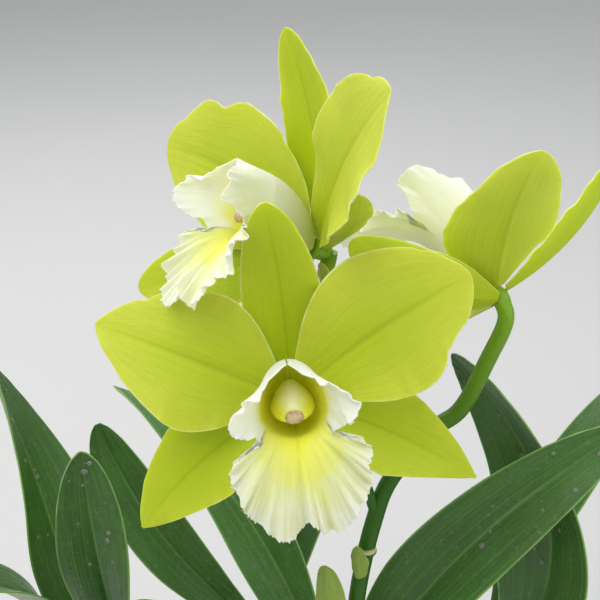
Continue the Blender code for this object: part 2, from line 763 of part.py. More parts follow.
def node_ring():
    """The raised ring round the stem where its bract sits."""
    half = np.array([0, 0, RING_HEIGHT / 2])
    place = np.array(RING_PLACE)
    radius = STEM_RADIUS + RING_STAND_OUT
    rings = tube_rings([place - half, place + half], (radius, radius), STEM_SIDES)
    return ring_solid("ring", rings, None)


def make_stem():
    """The main stem, its branches, the three receptacles and the ring at the node, in one solid."""
    radii = (STEM_RADIUS + 0.0004, STEM_RADIUS, STEM_RADIUS, STEM_RADIUS - 0.0002)
    way = [*STEM_WAY, BLOOMS["right"].place]
    stem = ring_solid("flower_stem", tube_rings(way, radii, STEM_SIDES, per_span=2), None)
    shapes = receptacle(BLOOMS["front"], FRONT_BRANCH)
    shapes += [knob(BLOOMS["upper"]), upper_branch(), knob(BLOOMS["right"]), node_ring()]
    join_or_cut(stem, shapes, "UNION")
    paint(stem, "stem")


def make_leaf(name, foot, heading, shape, thickness, finish, rows=11, columns=5):
    """A leaf, sheath or bract that stands on its foot and leans towards its heading."""
    grid = np.array(foot) + turned_about_z(blade_grid(shape, rows, columns), heading)
    add_sheet(name, grid, thickness, finish)


def bulb_rings(foot, top, widest, extra=0):
    """Rings of a club-shaped pseudobulb with blunt ridges, from its foot on the rhizome to its top."""
    share, swell = np.array(BULB_RINGS).T
    start = np.array([foot[0], foot[1], PAD_TOP + SEAT])
    base = BULB_FOOT_RADIUS + (BULB_TOP_RADIUS - BULB_FOOT_RADIUS) * share
    radius = base + (widest - base) * swell + extra
    angle = np.linspace(0, 2 * math.pi, BULB_SIDES, endpoint=False)
    ridge = 1 + BULB_RIDGE * np.where(np.arange(BULB_SIDES) % 2, -1, 1) * swell[:, None]
    reach = radius[:, None] * ridge
    lean = np.sin(math.pi / 2 * share) ** 1.2
    centre = start[:2] + (np.array(top)[:2] - start[:2]) * lean[:, None]
    height = start[2] + (top[2] - start[2]) * share
    return np.stack(
        [
            centre[:, :1] + reach * np.cos(angle),
            centre[:, 1:] + reach * np.sin(angle),
            np.repeat(height[:, None], BULB_SIDES, axis=1),
        ],
        axis=2,
    )


def rhizome_way():
    """The creeping way of the rhizome, under each pseudobulb in turn."""
    feet = [PSEUDOBULBS[f"pseudobulb_{number}"][0] for number in (3, 4, 5, 2, 1)]
    first = (feet[0][0] - 0.004, feet[0][1] - 0.012)
    last = (feet[-1][0] - 0.010, feet[-1][1] - 0.008)
    return [(x, y, RHIZOME_HEIGHT) for x, y in [first, *feet, last]]


def root_ways():
    """Roots that leave the rhizome, run over the bark and turn down into it."""
    ways = []
    for x, y, heading in ROOTS:
        across = math.cos(math.radians(heading))
        back = math.sin(math.radians(heading))
        ways.append([(x + far * across, y + far * back, RHIZOME_HEIGHT + rise) for far, rise in ROOT_REACH])
    return ways


def lengthened(way, extra):
    """The way with both of its ends carried on by a little."""
    way = [np.array(point) for point in way]
    way[0] = way[0] + unit(way[0] - way[1]) * extra
    way[-1] = way[-1] + unit(way[-1] - way[-2]) * extra
    return way


def rhizome_shapes(extra=0):
    """The rhizome, its roots and the pad under each pseudobulb, as closed shapes."""
    radius = RHIZOME_RADIUS + extra
    way = lengthened(rhizome_way(), extra)
    body = ring_solid("rhizome", tube_rings(way, (radius, radius), 10, per_span=2), None)
    others = []
    for way in root_ways():
        thick = ROOT_RADIUS + extra
        others.append(ring_solid("root", tube_rings(lengthened(way, extra), (thick, thick), 7), None))
    for foot, _, _ in PSEUDOBULBS.values():
        ends = [(*foot, RHIZOME_HEIGHT - 0.002 - extra), (*foot, PAD_TOP + 2 * extra)]
        radii = (PAD_RADIUS + 0.001 + extra, PAD_RADIUS - 0.0008 + extra)
        others.append(ring_solid("pad", tube_rings(ends, radii, 12), None))
    return body, others


def make_rhizome():
    """The rhizome with its roots and pads, in one solid."""
    body, others = rhizome_shapes()
    join_or_cut(body, others, "UNION")
    body.name = "rhizome"
    paint(body, "rhizome")


def turned_solid(name, profile, sides, finish):
    """A closed solid from a profile of radius and height, turned round the Z axis."""
    angle = np.linspace(0, 2 * math.pi, sides, endpoint=False)
    radius, height = np.array(profile).T
    rings = np.stack(
        [
            radius[:, None] * np.cos(angle),
            radius[:, None] * np.sin(angle),
            np.repeat(height[:, None], sides, axis=1),
        ],
        axis=2,
    )
    return ring_solid(name, rings, finish)


def inner_radius(height):
    """The pot's inner radius at a height above its floor."""
    share = (height - POT_FLOOR) / (POT_HEIGHT - POT_FLOOR)
    low = POT_BASE_RADIUS - POT_WALL
    return low + (POT_TOP_RADIUS - POT_WALL + 0.001 - low) * share


def make_pot():
    """A tapered nursery pot with a rolled rim, a recessed foot and drain holes."""
    rim_foot = POT_HEIGHT - RIM_HEIGHT
    profile = (
        (FOOT_DISC_RADIUS, 0),
        (FOOT_DISC_RADIUS + 0.003, FOOT_RECESS),
        (FOOT_RING_RADIUS - 0.003, FOOT_RECESS),
        (FOOT_RING_RADIUS, 0),
        (POT_BASE_RADIUS - 0.001, 0),
        (POT_BASE_RADIUS, 0.001),
        (POT_TOP_RADIUS, rim_foot),
        (RIM_RADIUS - 0.001, rim_foot),
        (RIM_RADIUS, rim_foot + 0.0015),
        (RIM_RADIUS, POT_HEIGHT - 0.002),
        (RIM_RADIUS - 0.002, POT_HEIGHT),
        (inner_radius(POT_HEIGHT) + 0.001, POT_HEIGHT),
        (inner_radius(POT_HEIGHT - 0.0015), POT_HEIGHT - 0.0015),
        (inner_radius(POT_FLOOR), POT_FLOOR),
    )
    pot = turned_solid("pot", profile, POT_SIDES, None)
    holes = []
    for number in range(DRAIN_HOLES):
        angle = 2 * math.pi * number / DRAIN_HOLES
        x = DRAIN_RING_RADIUS * math.cos(angle)
        y = DRAIN_RING_RADIUS * math.sin(angle)
        ends = [(x, y, -0.001), (x, y, POT_FLOOR + 0.001)]
        holes.append(ring_solid("hole", tube_rings(ends, (DRAIN_RADIUS, DRAIN_RADIUS), 8), None))
    join_or_cut(pot, holes, "DIFFERENCE")
    pot.data.set_sharp_from_angle(angle=math.radians(35))
    paint(pot, "pot")


def bark_chip(dice):
    """One rough chip: a box with uneven corners, tipped and sunk into the bark's surface."""
    size = [dice.uniform(*span) for span in (CHIP_LENGTH, CHIP_WIDTH, CHIP_THICKNESS)]
    shape = bmesh.new()
    bmesh.ops.create_cube(shape, size=1)
    for corner in shape.verts:
        corner.co = Vector(
            side * extent * dice.uniform(0.78, 1.0) for side, extent in zip(corner.co, size)
        )
    bmesh.ops.triangulate(shape, faces=shape.faces)
    reach = CHIP_SPREAD * math.sqrt(dice.random())
    around = dice.uniform(0, 2 * math.pi)
    height = BARK_TOP + dice.uniform(0, 0.0025)
    place = Vector((reach * math.cos(around), reach * math.sin(around), height))
    turned = Matrix.Rotation(dice.uniform(0, 2 * math.pi), 4, "Z")
    tipped = Matrix.Rotation(dice.uniform(-0.35, 0.35), 4, "X")
    shape.transform(Matrix.Translation(place) @ turned @ tipped)
    mesh = bpy.data.meshes.new("chip")
    shape.to_mesh(mesh)
    shape.free()
    chip = bpy.data.objects.new("chip", mesh)
    bpy.context.scene.collection.objects.link(chip)
    return chip


def make_bark():
    """The bark that fills the pot, with chips on its top, cut clear of what grows through it."""
    low = POT_FLOOR + SEAT
    profile = (
        (inner_radius(low) - SEAT, low),
        (inner_radius(BARK_TOP) - SEAT, BARK_TOP - 0.001),
    )
    bark = turned_solid("bark", profile, POT_SIDES, None)
    dice = random.Random(BARK_SEED)
    join_or_cut(bark, [bark_chip(dice) for _ in range(CHIP_COUNT)], "UNION")
    body, others = rhizome_shapes(BARK_CLEARANCE)
    join_or_cut(body, others, "UNION")
    join_or_cut(bark, [body], "DIFFERENCE")
    bulbs = [
        ring_solid("clear", bulb_rings(*sizes, extra=BARK_CLEARANCE), None)
        for sizes in PSEUDOBULBS.values()
    ]
    join_or_cut(bark, bulbs, "DIFFERENCE")
    keep_largest(bark)
    paint(bark, "bark")


def clear_scene():
    """Removes what the scene starts with."""
    for thing in list(bpy.data.objects):
        bpy.data.objects.remove(thing)


def main():
    """Makes every piece of the plant and its pot."""
    clear_scene()
    make_pot()
    make_bark()
    make_rhizome()
    for name, sizes in PSEUDOBULBS.items():
        ring_solid(name, bulb_rings(*sizes), "pseudobulb")
    for name, (foot, heading, shape) in LEAVES.items():
        make_leaf(name, foot, heading, shape, LEAF_THICKNESS, "leaf")
    make_leaf("flower_sheath", *SHEATH, BRACT_THICKNESS, "sheath", rows=9)
    make_leaf("stem_bract", *STEM_BRACT, BRACT_THICKNESS, "sheath", rows=6)
    make_leaf("flower_bract", *FLOWER_BRACT, BRACT_THICKNESS, "sheath", rows=6)
    make_stem()
    for name, bloom in BLOOMS.items():
        make_bloom(name, bloom)


main()
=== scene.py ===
"""Looks for a cattleya orchid in flower in its nursery pot.

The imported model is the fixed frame. Each of its solids is replaced by a finer
surface worked out from the same sizes, with its own waves, veins, fringe and
finish. Lengths are in metres and angles in degrees. The origin is the middle
of the pot's underside, +Z is up and the front bloom looks towards -Y.
"""

import math
from dataclasses import dataclass

import bpy
import numpy as np
from bpy.props import FloatProperty, FloatVectorProperty, IntProperty, PointerProperty
from mathutils import Matrix


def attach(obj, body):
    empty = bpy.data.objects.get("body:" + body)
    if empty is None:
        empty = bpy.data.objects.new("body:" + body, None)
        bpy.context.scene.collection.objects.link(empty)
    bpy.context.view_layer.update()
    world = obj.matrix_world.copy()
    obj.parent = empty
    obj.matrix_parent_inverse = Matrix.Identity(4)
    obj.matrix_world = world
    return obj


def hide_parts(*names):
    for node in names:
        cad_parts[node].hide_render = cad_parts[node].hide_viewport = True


bl_info = {
    "name": "Potted cattleya orchid",
    "version": (1, 0, 0),
    "blender": (4, 5, 0),
    "location": "View3D > Sidebar > Orchid",
    "description": "Finer petals, leaves, lips, bark and pot round the packed orchid",
    "category": "Object",
}

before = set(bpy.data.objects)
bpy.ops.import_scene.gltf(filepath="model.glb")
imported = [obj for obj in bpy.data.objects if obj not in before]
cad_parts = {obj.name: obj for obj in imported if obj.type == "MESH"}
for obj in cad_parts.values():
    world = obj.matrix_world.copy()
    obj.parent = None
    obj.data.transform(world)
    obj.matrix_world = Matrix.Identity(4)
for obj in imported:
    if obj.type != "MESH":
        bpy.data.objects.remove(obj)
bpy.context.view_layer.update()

# Pot
POT_HEIGHT = 0.140
POT_BASE_RADIUS = 0.058
POT_TOP_RADIUS = 0.076
POT_MOUTH_RADIUS = 0.075
POT_WALL = 0.002
RIM_RADIUS = 0.080
RIM_HEIGHT = 0.012
FOOT_RECESS = 0.003
FOOT_DISC_RADIUS = 0.018
FOOT_RING_RADIUS = 0.050
POT_FLOOR = 0.0055
EDGE_ROUNDING = 0.001
RIM_ROUNDING = 0.002
MOUTH_CHAMFER = 0.0015
DRAIN_HOLES = 6
DRAIN_RADIUS = 0.006
DRAIN_RING_RADIUS = 0.034
POT_SIDES = 144
POT_SHARP_ANGLE = 35

# Bark: ranges of the loose chips' sizes, squareness, lean and height over the bed.
BARK_TOP = 0.120
BARK_SEED = 11
CHIP_SIZES = ((0.007, 0.021), (0.005, 0.012), (0.003, 0.007))
CHIP_SQUARENESS = (0.25, 0.55)
CHIP_LEAN = 0.45
CHIP_HEIGHT = (-0.001, 0.0045)
CHIP_ROWS = 8
CHIP_SIDES = 12
CHIPS_REACH = 0.064

# Rhizome and roots: where each root leaves the rhizome and its heading from +X towards +Y,
# and the run of every root, as distances out and heights over the rhizome's middle.
RHIZOME_RADIUS = 0.0050
RHIZOME_HEIGHT = 0.1245
RHIZOME_ENDS = ((-0.004, -0.012), (-0.010, -0.008))
RHIZOME_SCARS = 30
SCAR_SWELL = 0.07
ROOT_RADIUS = 0.0021
ROOTS = (
    (-0.038, -0.004, 250),
    (-0.020, 0.032, 75),
    (0.030, -0.014, 250),
    (0.046, 0.016, 290),
    (0.012, 0.028, 30),
    (-0.044, 0.026, 105),
)
ROOT_REACH = ((0.0, 0.0), (0.009, 0.0010), (0.016, -0.0010), (0.020, -0.0080))
PAD_TOP = 0.1310
PAD_RADII = (0.0075, 0.0057)

# Thicknesses
SEAT = 0.0003
TEPAL_THICKNESS = 0.0009
LIP_THICKNESS = 0.0007
LEAF_THICKNESS = 0.0018
BRACT_THICKNESS = 0.0010
PAPER_THICKNESS = 0.0003
TIP_HALF_WIDTH = 0.0007
MIDRIB_ROUNDING = 0.001

# Relief on the sheets: heights, spacings, and the depth and reach of the midrib's groove.
PETAL_GROOVE = (0.00030, 0.0013)
PETAL_NERVE = 0.00005
NERVE_SPACING = 0.0030
PETAL_RIPPLE = 0.00035
LEAF_CHANNEL = (0.00060, 0.0016)
LEAF_RIDGE = 0.00008
RIDGE_SPACING = 0.0034
LEAF_SWAY = 0.00045

# A direction that no stem, root or knob points in, to start its rings from.
OFF_AXIS = (0.31, 0.85, 0.42)
NO_LENGTH = 1e-12

# Flower
RECEPTACLE_RADIUS = 0.0036
RECEPTACLE_FRONT = 0.0036
RECEPTACLE_BACK = -0.006
KNOB_BACK = -0.0048
OVARY_LENGTH = 0.016
TEPAL_SEAT_RADIUS = 0.0041
PETAL_RISE = 0.0032
STEM_RADIUS = 0.0034
PEDICEL_RADIUS = 0.0021
OVARY_RADIUS = 0.0029

# Column and anther cap
COLUMN_FOOT_FORWARD = 0.0044
COLUMN_LENGTH = 0.0295
COLUMN_FOOT_RADIUS = 0.0020
COLUMN_SWELL = 0.0052
COLUMN_BELLY = 0.0014
COLUMN_ARCH = 0.0030
COLUMN_DROOP = 0.0018
COLUMN_SHOULDER = 0.72
CAP_GAP = 0.0004
CAP_HALF_WIDTH = 0.0030
CAP_HALF_HEIGHT = 0.0023
CAP_DEPTH = 0.0024

# How finely each kind of sheet is drawn, along and across.
SEPAL_GRID = (101, 33)
PETAL_GRID = (131, 57)
LEAF_GRID = (97, 33)
BRACT_GRID = (41, 25)
LIP_MIDDLE_CELLS = 200
LIP_SIDE_CELLS = 60
LIP_ROWS = 56

# Camera, as the photograph was taken: distance to the blooms, tilt and lens.
CAMERA_AIM = (-0.0002, -0.0297, 0.4301)
CAMERA_DISTANCE = 0.450
CAMERA_TILT = 27
CAMERA_LENS = 78.3
CAMERA_SENSOR = 36

# Stage: the floor's half width, and each soft light's place and size.
FLOOR_HALF = 8.0
LIGHTS = {
    "key": ((-0.50, -0.60, 1.75), 1.3),
    "fill": ((1.45, -0.70, 1.15), 1.2),
    "back": ((-0.35, 1.05, 1.35), 1.0),
}


@dataclass
class Blade:
    """A flat outline bent along its midrib. Two-number angles run from base to tip.

    The claw is the half width at the base. The peak is the share of the length
    where the blade is widest, and the tip is the power by which it narrows from
    there. The fold raises the two sides like a book's pages and the cup curls
    them. The ruffle is a height, a number of waves and a phase. The clock is the
    angle round a bloom from its top, clockwise as seen from the front. Each nick
    is its side (1 or -1), its share of the length, its depth as a share of the
    half width (below 0 for a bulge) and its reach as a share of the length.
    """

    length: float
    half_width: float
    claw: float = 0.0034
    peak: float = 0.45
    tip: float = 1.7
    pitch: tuple = (12, 12)
    yaw: float = 0
    twist: tuple = (0, 0)
    fold: tuple = (14, 4)
    cup: float = 0.05
    ruffle: tuple = (0, 2.5, 0)
    clock: float = 0
    nicks: tuple = ()


@dataclass
class Bloom:
    """Where a flower stands, the way it faces, how its lip is turned, and its five tepals."""

    place: tuple
    face: tuple
    top: tuple
    lip_turn: tuple
    lip_lift: float
    lip_scale: float
    dorsal_sepal: Blade
    left_petal: Blade
    right_petal: Blade
    left_lateral_sepal: Blade
    right_lateral_sepal: Blade


def sepal(clock, pitch, yaw, twist, length=0.075, half_width=0.0145, **more):
    """One of the three narrower, outer tepals."""
    return Blade(length, half_width, pitch=pitch, yaw=yaw, twist=twist, clock=clock, **more)


def petal(clock, pitch, yaw, twist, length, half_width, **more):
    """One of the two broad, inner tepals, with a slightly waved edge."""
    shape = dict(claw=0.0036, peak=0.52, tip=2.3, fold=(12, 2), cup=0.04)
    return Blade(length, half_width, pitch=pitch, yaw=yaw, twist=twist, clock=clock, **{**shape, **more})


BLOOMS = {
    "front": Bloom(
        place=(-0.0033, -0.0450, 0.4000),
        face=(-0.020, -0.916, 0.400),
        top=(-0.141, 0.398, 0.906),
        lip_turn=(0, 3),
        lip_lift=0,
        lip_scale=1.0,
        dorsal_sepal=sepal(5, (5, 45), -8, (1, 5), 0.0712, 0.0136, fold=(4, 4)),
        left_petal=petal(
            -57.5, (10, -5), -6, (8, -16), 0.0675, 0.0244, peak=0.44, tip=1.4, ruffle=(0.0009, 2.2, 0.4),
            nicks=((1, 0.80, 0.06, 0.025), (1, 0.70, -0.03, 0.05), (-1, 0.86, 0.05, 0.04)),
        ),
        right_petal=petal(
            55, (11, 22), 14, (-7, 6), 0.0725, 0.0256, peak=0.54, tip=1.6, ruffle=(0.0009, 2.6, 2.0),
            nicks=(
                (1, 0.80, 0.16, 0.09), (1, 0.73, 0.05, 0.02), (-1, 0.86, 0.06, 0.02), (-1, 0.96, 0.15, 0.05)
            ),
        ),
        left_lateral_sepal=sepal(-112, (-1, -21), -26, (-7, -12), 0.0705, 0.0162, peak=0.47, tip=1.3),
        right_lateral_sepal=sepal(114, (-8, -16), 19, (7, 11), 0.0700, 0.0154, peak=0.50, tip=1.15),
    ),
    "upper": Bloom(
        place=(0.0072, -0.0146, 0.4421),
        face=(-0.771, -0.490, 0.407),
        top=(0.119, 0.517, 0.848),
        lip_turn=(13, -6.5),
        lip_lift=22,
        lip_scale=0.985,
        dorsal_sepal=sepal(-1, (7, 36), 2, (0, 1), 0.0745, 0.0145, tip=1.8, fold=(2, 4)),
        left_petal=petal(
            -44, (13, 25), -35, (4, 6), 0.0758, 0.0258, peak=0.47, tip=1.85, ruffle=(0.0011, 2.6, 1.0),
            nicks=(
                (1, 0.70, 0.09, 0.03), (1, 0.60, -0.05, 0.05), (1, 0.82, -0.10, 0.05), (1, 0.93, 0.10, 0.02)
            ),
        ),
        right_petal=petal(
            47, (29, 15), 20, (10, 6), 0.0790, 0.0250, peak=0.57, tip=1.4, ruffle=(0.0012, 3.0, 0.0),
            nicks=(
                (1, 0.62, 0.10, 0.02), (1, 0.70, -0.10, 0.04), (1, 0.84, -0.12, 0.06), (-1, 0.88, 0.12, 0.03)
            ),
        ),
        left_lateral_sepal=sepal(-98, (11, 28), -11, (2, 7), 0.0780, 0.0147, tip=1.9, fold=(4, 4)),
        right_lateral_sepal=sepal(
            77, (12, 46), -10, (68, 68), 0.0470, 0.0083, claw=0.0028, tip=1.30, fold=(5, 5)
        ),
    ),
    "right": Bloom(
        place=(0.0764, 0.0154, 0.4084),
        face=(-0.760, 0.495, 0.421),
        top=(0.618, 0.351, 0.703),
        lip_turn=(14, 0),
        lip_lift=42,
        lip_scale=1.08,
        dorsal_sepal=sepal(-9, (-20, 21), 2, (0, 10), 0.0770, 0.0139, tip=1.8, fold=(20, 14)),
        left_petal=petal(
            -58, (24, 28), -6, (4, 0), 0.0750, 0.0240, ruffle=(0.0010, 2.4, 1.4),
            nicks=((1, 0.93, 0.30, 0.03), (-1, 0.95, 0.35, 0.025), (-1, 0.86, 0.08, 0.03)),
        ),
        right_petal=petal(
            60, (16, -2), -12, (36, 37), 0.0705, 0.0226, peak=0.42, tip=1.6, ruffle=(0.0008, 2.0, 0.6)
        ),
        left_lateral_sepal=sepal(-122, (22, 20), -8, (-4, -6)),
        right_lateral_sepal=sepal(119, (21, 50), -23, (-1, -1), 0.0770, 0.0128, tip=1.85),
    ),
}

# Half of the lip's margin in the flower's own axes: across, up and forward.
MIDDLE_LOBE_MARGIN = (
    (0.0000, -0.0348, 0.0370),
    (0.0035, -0.0390, 0.0360),
    (0.0070, -0.0410, 0.0355),
    (0.0120, -0.0385, 0.0360),
    (0.0175, -0.0325, 0.0380),
    (0.0210, -0.0255, 0.0400),
    (0.0223, -0.0180, 0.0420),
    (0.0208, -0.0118, 0.0425),
    (0.0160, -0.0090, 0.0410),
    (0.0128, -0.0096, 0.0390),
    (0.0106, -0.0086, 0.0370),
)
SIDE_LOBE_MARGIN = (
    (0.0106, -0.0086, 0.0370),
    (0.0134, -0.0056, 0.0410),
    (0.0160, -0.0052, 0.0445),
    (0.0192, -0.0028, 0.0505),
    (0.0190, 0.0012, 0.0530),
    (0.0162, 0.0054, 0.0525),
    (0.0118, 0.0082, 0.0495),
    (0.0062, 0.0120, 0.0455),
    (0.0002, 0.0162, 0.0430),
)

# Lip: its throat's reach from the flower's middle, the angles from its lowest line where the
# lobes meet and where its sides close over the column, and the heights of its waves.
THROAT_FORWARD = 0.030
THROAT_ACROSS = 0.0110
THROAT_BELOW = 0.0090
THROAT_ABOVE = 0.0162
THROAT_SHARE = 0.45
LIP_FOOT_RADIUS = 0.0033
LIP_FOOT_FORWARD = 0.0057
SINUS_ANGLE = 63
SEAM_ANGLE = 178.5
SINUS_HINGE = (-0.009, 0.036)
SINUS_EASINGS = 14
BEND_FORWARD = (0.0015, 0.0075)
MIDDLE_BEND = (-0.001, 0.002)
LIP_RUFFLE = 0.0016
LIP_FRILL = 0.0010
LIP_PLEAT = 0.00014
LIP_GROOVE = 0.00035
TOOTH_LENGTH = 0.0013
TOOTH_MIDDLE = 0.0007
NOTCH_DEPTH = 0.0024

# Pseudobulbs: foot on the rhizome, top, and widest radius.
PSEUDOBULBS = {
    "pseudobulb_1": ((0.030, -0.014), (0.0200, 0.0020, 0.2150), 0.0135),
    "pseudobulb_2": ((0.046, 0.016), (0.0880, 0.0280, 0.2210), 0.0125),
    "pseudobulb_3": ((-0.038, -0.004), (-0.0780, 0.0040, 0.2230), 0.0130),
    "pseudobulb_4": ((-0.044, 0.026), (-0.0980, 0.0240, 0.2200), 0.0120),
    "pseudobulb_5": ((-0.006, 0.034), (-0.0160, 0.0600, 0.2050), 0.0125),
}
BULB_TOP_RADIUS = 0.0085
BULB_FOOT_RADIUS = 0.0055
BULB_RIDGES = 6
BULB_RIDGE = 0.048
BULB_FURROW = 0.012

# A pseudobulb's swelling: shares of its height and of its full swelling.
BULB_SWELLING = ((0, 0), (0.12, 0.35), (0.32, 0.80), (0.55, 1), (0.78, 0.82), (0.94, 0.35), (1, 0))

# Papery wraps: shares of the way round and of the bulb's height, and how far they stand off.
WRAP_TURNS = (0.10, 0.97)
WRAP_HEIGHTS = (0.01, 0.62)
WRAP_STAND_OFF = 0.0005
WRAP_FLARE = 0.16
WRAP_SIDES = 144


def leaf(foot, heading, length, half_width, peak, tip, pitch, yaw, twist):
    """A leaf: its foot, its heading from the back (+Y) towards +X, and its folded blade."""
    return foot, heading, Blade(length, half_width, 0.0045, peak, tip, pitch, yaw, twist, (32, 10))


LEAVES = {
    "leaf_1_right": leaf((0.0272, 0.0035, 0.2164), 105, 0.180, 0.0202, 0.40, 1.7, (76, 31), -26, (-43, -60)),
    "leaf_1_left": leaf((0.0135, 0.0070, 0.2158), -37, 0.180, 0.0156, 0.40, 1.5, (60, 9), -16, (73, -21)),
    "leaf_2_front": leaf((0.0888, 0.0222, 0.2236), 112, 0.168, 0.0230, 0.41, 2.0, (52, 155), 18, (-94, -66)),
    "leaf_2_back": leaf((0.0900, 0.0335, 0.2222), 48, 0.165, 0.0175, 0.45, 1.7, (68, 24), 8, (10, 0)),
    "leaf_3_front": leaf((-0.0830, -0.0005, 0.2242), 197, 0.165, 0.0150, 0.50, 1.3, (72, 12), -100, (0, -20)),
    "leaf_3_back": leaf((-0.0735, 0.0085, 0.2242), 32, 0.134, 0.0165, 0.51, 1.9, (106, 94), -12, (27, -36)),
    "leaf_4_left": leaf((-0.0985, 0.0318, 0.2212), -59, 0.150, 0.0205, 0.48, 1.6, (80, 72), -19, (56, -34)),
    "leaf_4_front": leaf((-0.1040, 0.0170, 0.2212), 226, 0.130, 0.0150, 0.50, 1.7, (86, 7), -3, (-11, 17)),
    "leaf_5_left": leaf((-0.0215, 0.0605, 0.2076), -93, 0.135, 0.0150, 0.54, 1.9, (44, 74), 8, (63, 78)),
    "leaf_5_back": leaf((-0.0110, 0.0620, 0.2058), 28, 0.170, 0.0175, 0.45, 1.7, (74, 28), 10, (0, -10)),
}

# Sheath and bracts, each with its foot, heading and blade as a leaf has.
BRACTS = {
    "flower_sheath": (
        (0.0168, -0.0056, 0.2162), 205, Blade(0.094, 0.0098, 0.0034, 0.50, 2.0, (74, 85), fold=(36, 34))
    ),
    "stem_bract": (
        (0.0232, -0.0162, 0.2990), 205, Blade(0.017, 0.0044, 0.0030, 0.40, 1.6, (80, 84), fold=(34, 30))
    ),
    "flower_bract": (
        (0.0092, -0.0166, 0.4240), 214, Blade(0.016, 0.0040, 0.0028, 0.40, 1.6, (82, 70), fold=(34, 20))
    ),
}

# Stem: the way of the main stem to the right bloom, and of the two branches.
STEM_WAY = (
    (0.0215, -0.0010, 0.2159),
    (0.0213, -0.0050, 0.2420),
    (0.0222, -0.0095, 0.2700),
    (0.0243, -0.0115, 0.2960),
    (0.0290, -0.0085, 0.3200),
    (0.0354, -0.0032, 0.3367),
    (0.0506, 0.0003, 0.3569),
    (0.0625, 0.0030, 0.3660),
    (0.0725, 0.0085, 0.3850),
    (0.0785, 0.0105, 0.4010),
)
FRONT_BRANCH = ((0.0300, -0.0080, 0.3230), (0.0220, -0.0080, 0.3480), (0.0080, -0.0120, 0.3730))
UPPER_BRANCH = (
    (0.0370, -0.0030, 0.3400),
    (0.0340, 0.0000, 0.3740),
    (0.0200, -0.0060, 0.4040),
    (0.0100, -0.0125, 0.4290),
)
RING_PLACE = (0.0262, -0.0105, 0.3080)
RING_HEIGHT = 0.0022
RING_STAND_OUT = 0.0010

# Water drops: the blades that carry them, each drop's flatness and how far it is sunk.
WET_LEAVES = ("leaf_1_right", "leaf_3_back", "leaf_4_left", "leaf_2_front")
PETAL_DROPS_SEED = 9
DROP_HEIGHT = 0.55
DROP_SINK = 0.00012


# Colours that no setting changes, as linear red, green and blue
LEAF_DUST = (0.42, 0.46, 0.34)
SHEATH_SPECKLE = (0.16, 0.18, 0.03)
SHEATH_MARGIN = (0.62, 0.66, 0.34)
BULB_SCURF = (0.36, 0.36, 0.22)
PAPER_STAIN = (0.20, 0.12, 0.06)
WOOD_STAIN = (0.07, 0.05, 0.025)
ROOT_STAIN = (0.30, 0.29, 0.20)
POT_DUST = (0.22, 0.20, 0.17)
WATER_MARKS = (0.40, 0.40, 0.38)
# A drop's two colours are painted reflection: the pale sky and the green blade seen in clear water.
DROP_REFLECTION_GREEN = (0.30, 0.38, 0.24)
DROP_REFLECTION_PALE = (0.45, 0.52, 0.38)
SKY_BLUE = (0.93, 0.97, 1.0)


# Settings


def linear(colour):
    """An sRGB hex colour as linear red, green and blue."""
    channels = [int(colour[i : i + 2], 16) / 255 for i in (0, 2, 4)]
    return [c / 12.92 if c <= 0.04045 else ((c + 0.055) / 1.055) ** 2.4 for c in channels]


def colour_property(name, description, default):
    """A colour that a user can change, given as sRGB hex."""
    return FloatVectorProperty(
        name=name, description=description, subtype="COLOR", size=3, min=0, max=1, default=linear(default)
    )


def light_property(name, description, default):
    """A light's power in watts, that a user can change."""
    return FloatProperty(name=name, description=description, default=default, min=0, unit="POWER")


class OrchidFlowerSettings(bpy.types.PropertyGroup):
    """Colours of the blooms."""

    petal: colour_property("Petal", "Broad inner tepals", "B0BC20")
    petal_pale: colour_property("Petal edge", "The paler outer part of a petal", "C4CC4C")
    sepal: colour_property("Sepal", "Narrow outer tepals", "AEBE0C")
    rim: colour_property("Edge line", "The thin pale line along a tepal's edge", "E6EFA6")
    lip: colour_property("Lip", "The lip's frilled margin", "F1F3DC")
    lip_cream: colour_property("Lip middle", "The middle of the lip's front lobe", "DDE286")
    # Partly the throat's own yellow and partly painted light: it is made brighter than its own yellow to
    # stand for light shining through the tube's thin walls into its shade.
    throat: colour_property("Throat", "The yellow inside the lip's tube", "F4F050")
    # Both column colours are its own cream and yellow made brighter as painted light, against the shade of
    # the throat round the column.
    column: colour_property("Column", "The column's top", "FBF9C4")
    column_side: colour_property("Column side", "The column's edges", "EEEE40")
    anther: colour_property("Anther cap", "The granular cap", "D8BE96")
    anther_mark: colour_property("Anther mark", "Darker grains on the cap", "9A6B52")


class OrchidPlantSettings(bpy.types.PropertyGroup):
    """Colours of the leaves, stem, bulbs and roots."""

    leaf: colour_property("Leaf", "Upper side of a leaf", "3A6A1E")
    leaf_pale: colour_property("Leaf streak", "Paler streaks and midrib of a leaf", "6F9A45")
    leaf_under: colour_property("Leaf underside", "Lower side of a leaf", "7FA060")
    stem: colour_property("Stem", "The flower stem", "2F6008")
    stalk: colour_property("Stalk", "The stalks close to the blooms", "7EA812")
    node: colour_property("Node ring", "The dry ring at the stem's node", "D8D2A0")
    sheath: colour_property("Sheath", "Sheath and bracts", "9DB84E")
    bulb: colour_property("Pseudobulb", "Smooth ridged skin", "7C9440")
    paper: colour_property("Dry sheath", "Papery wraps round the bulbs", "C9BB94")
    rhizome: colour_property("Rhizome", "Woody creeping stem", "6E5B38")
    root: colour_property("Root", "Spongy pale root skin", "C8C7B4")


class OrchidPotSettings(bpy.types.PropertyGroup):
    """Finish of the pot and its bark."""

    pot: colour_property("Pot", "Moulded nursery plastic", "1D1D20")
    bark: colour_property("Bark", "Dry bark chips", "6B4327")
    bark_dark: colour_property("Damp bark", "Damp or shaded bark", "37221A")
    chips: IntProperty(
        name="Chips", description="Number of loose chips on the top", default=230, min=50, max=400
    )


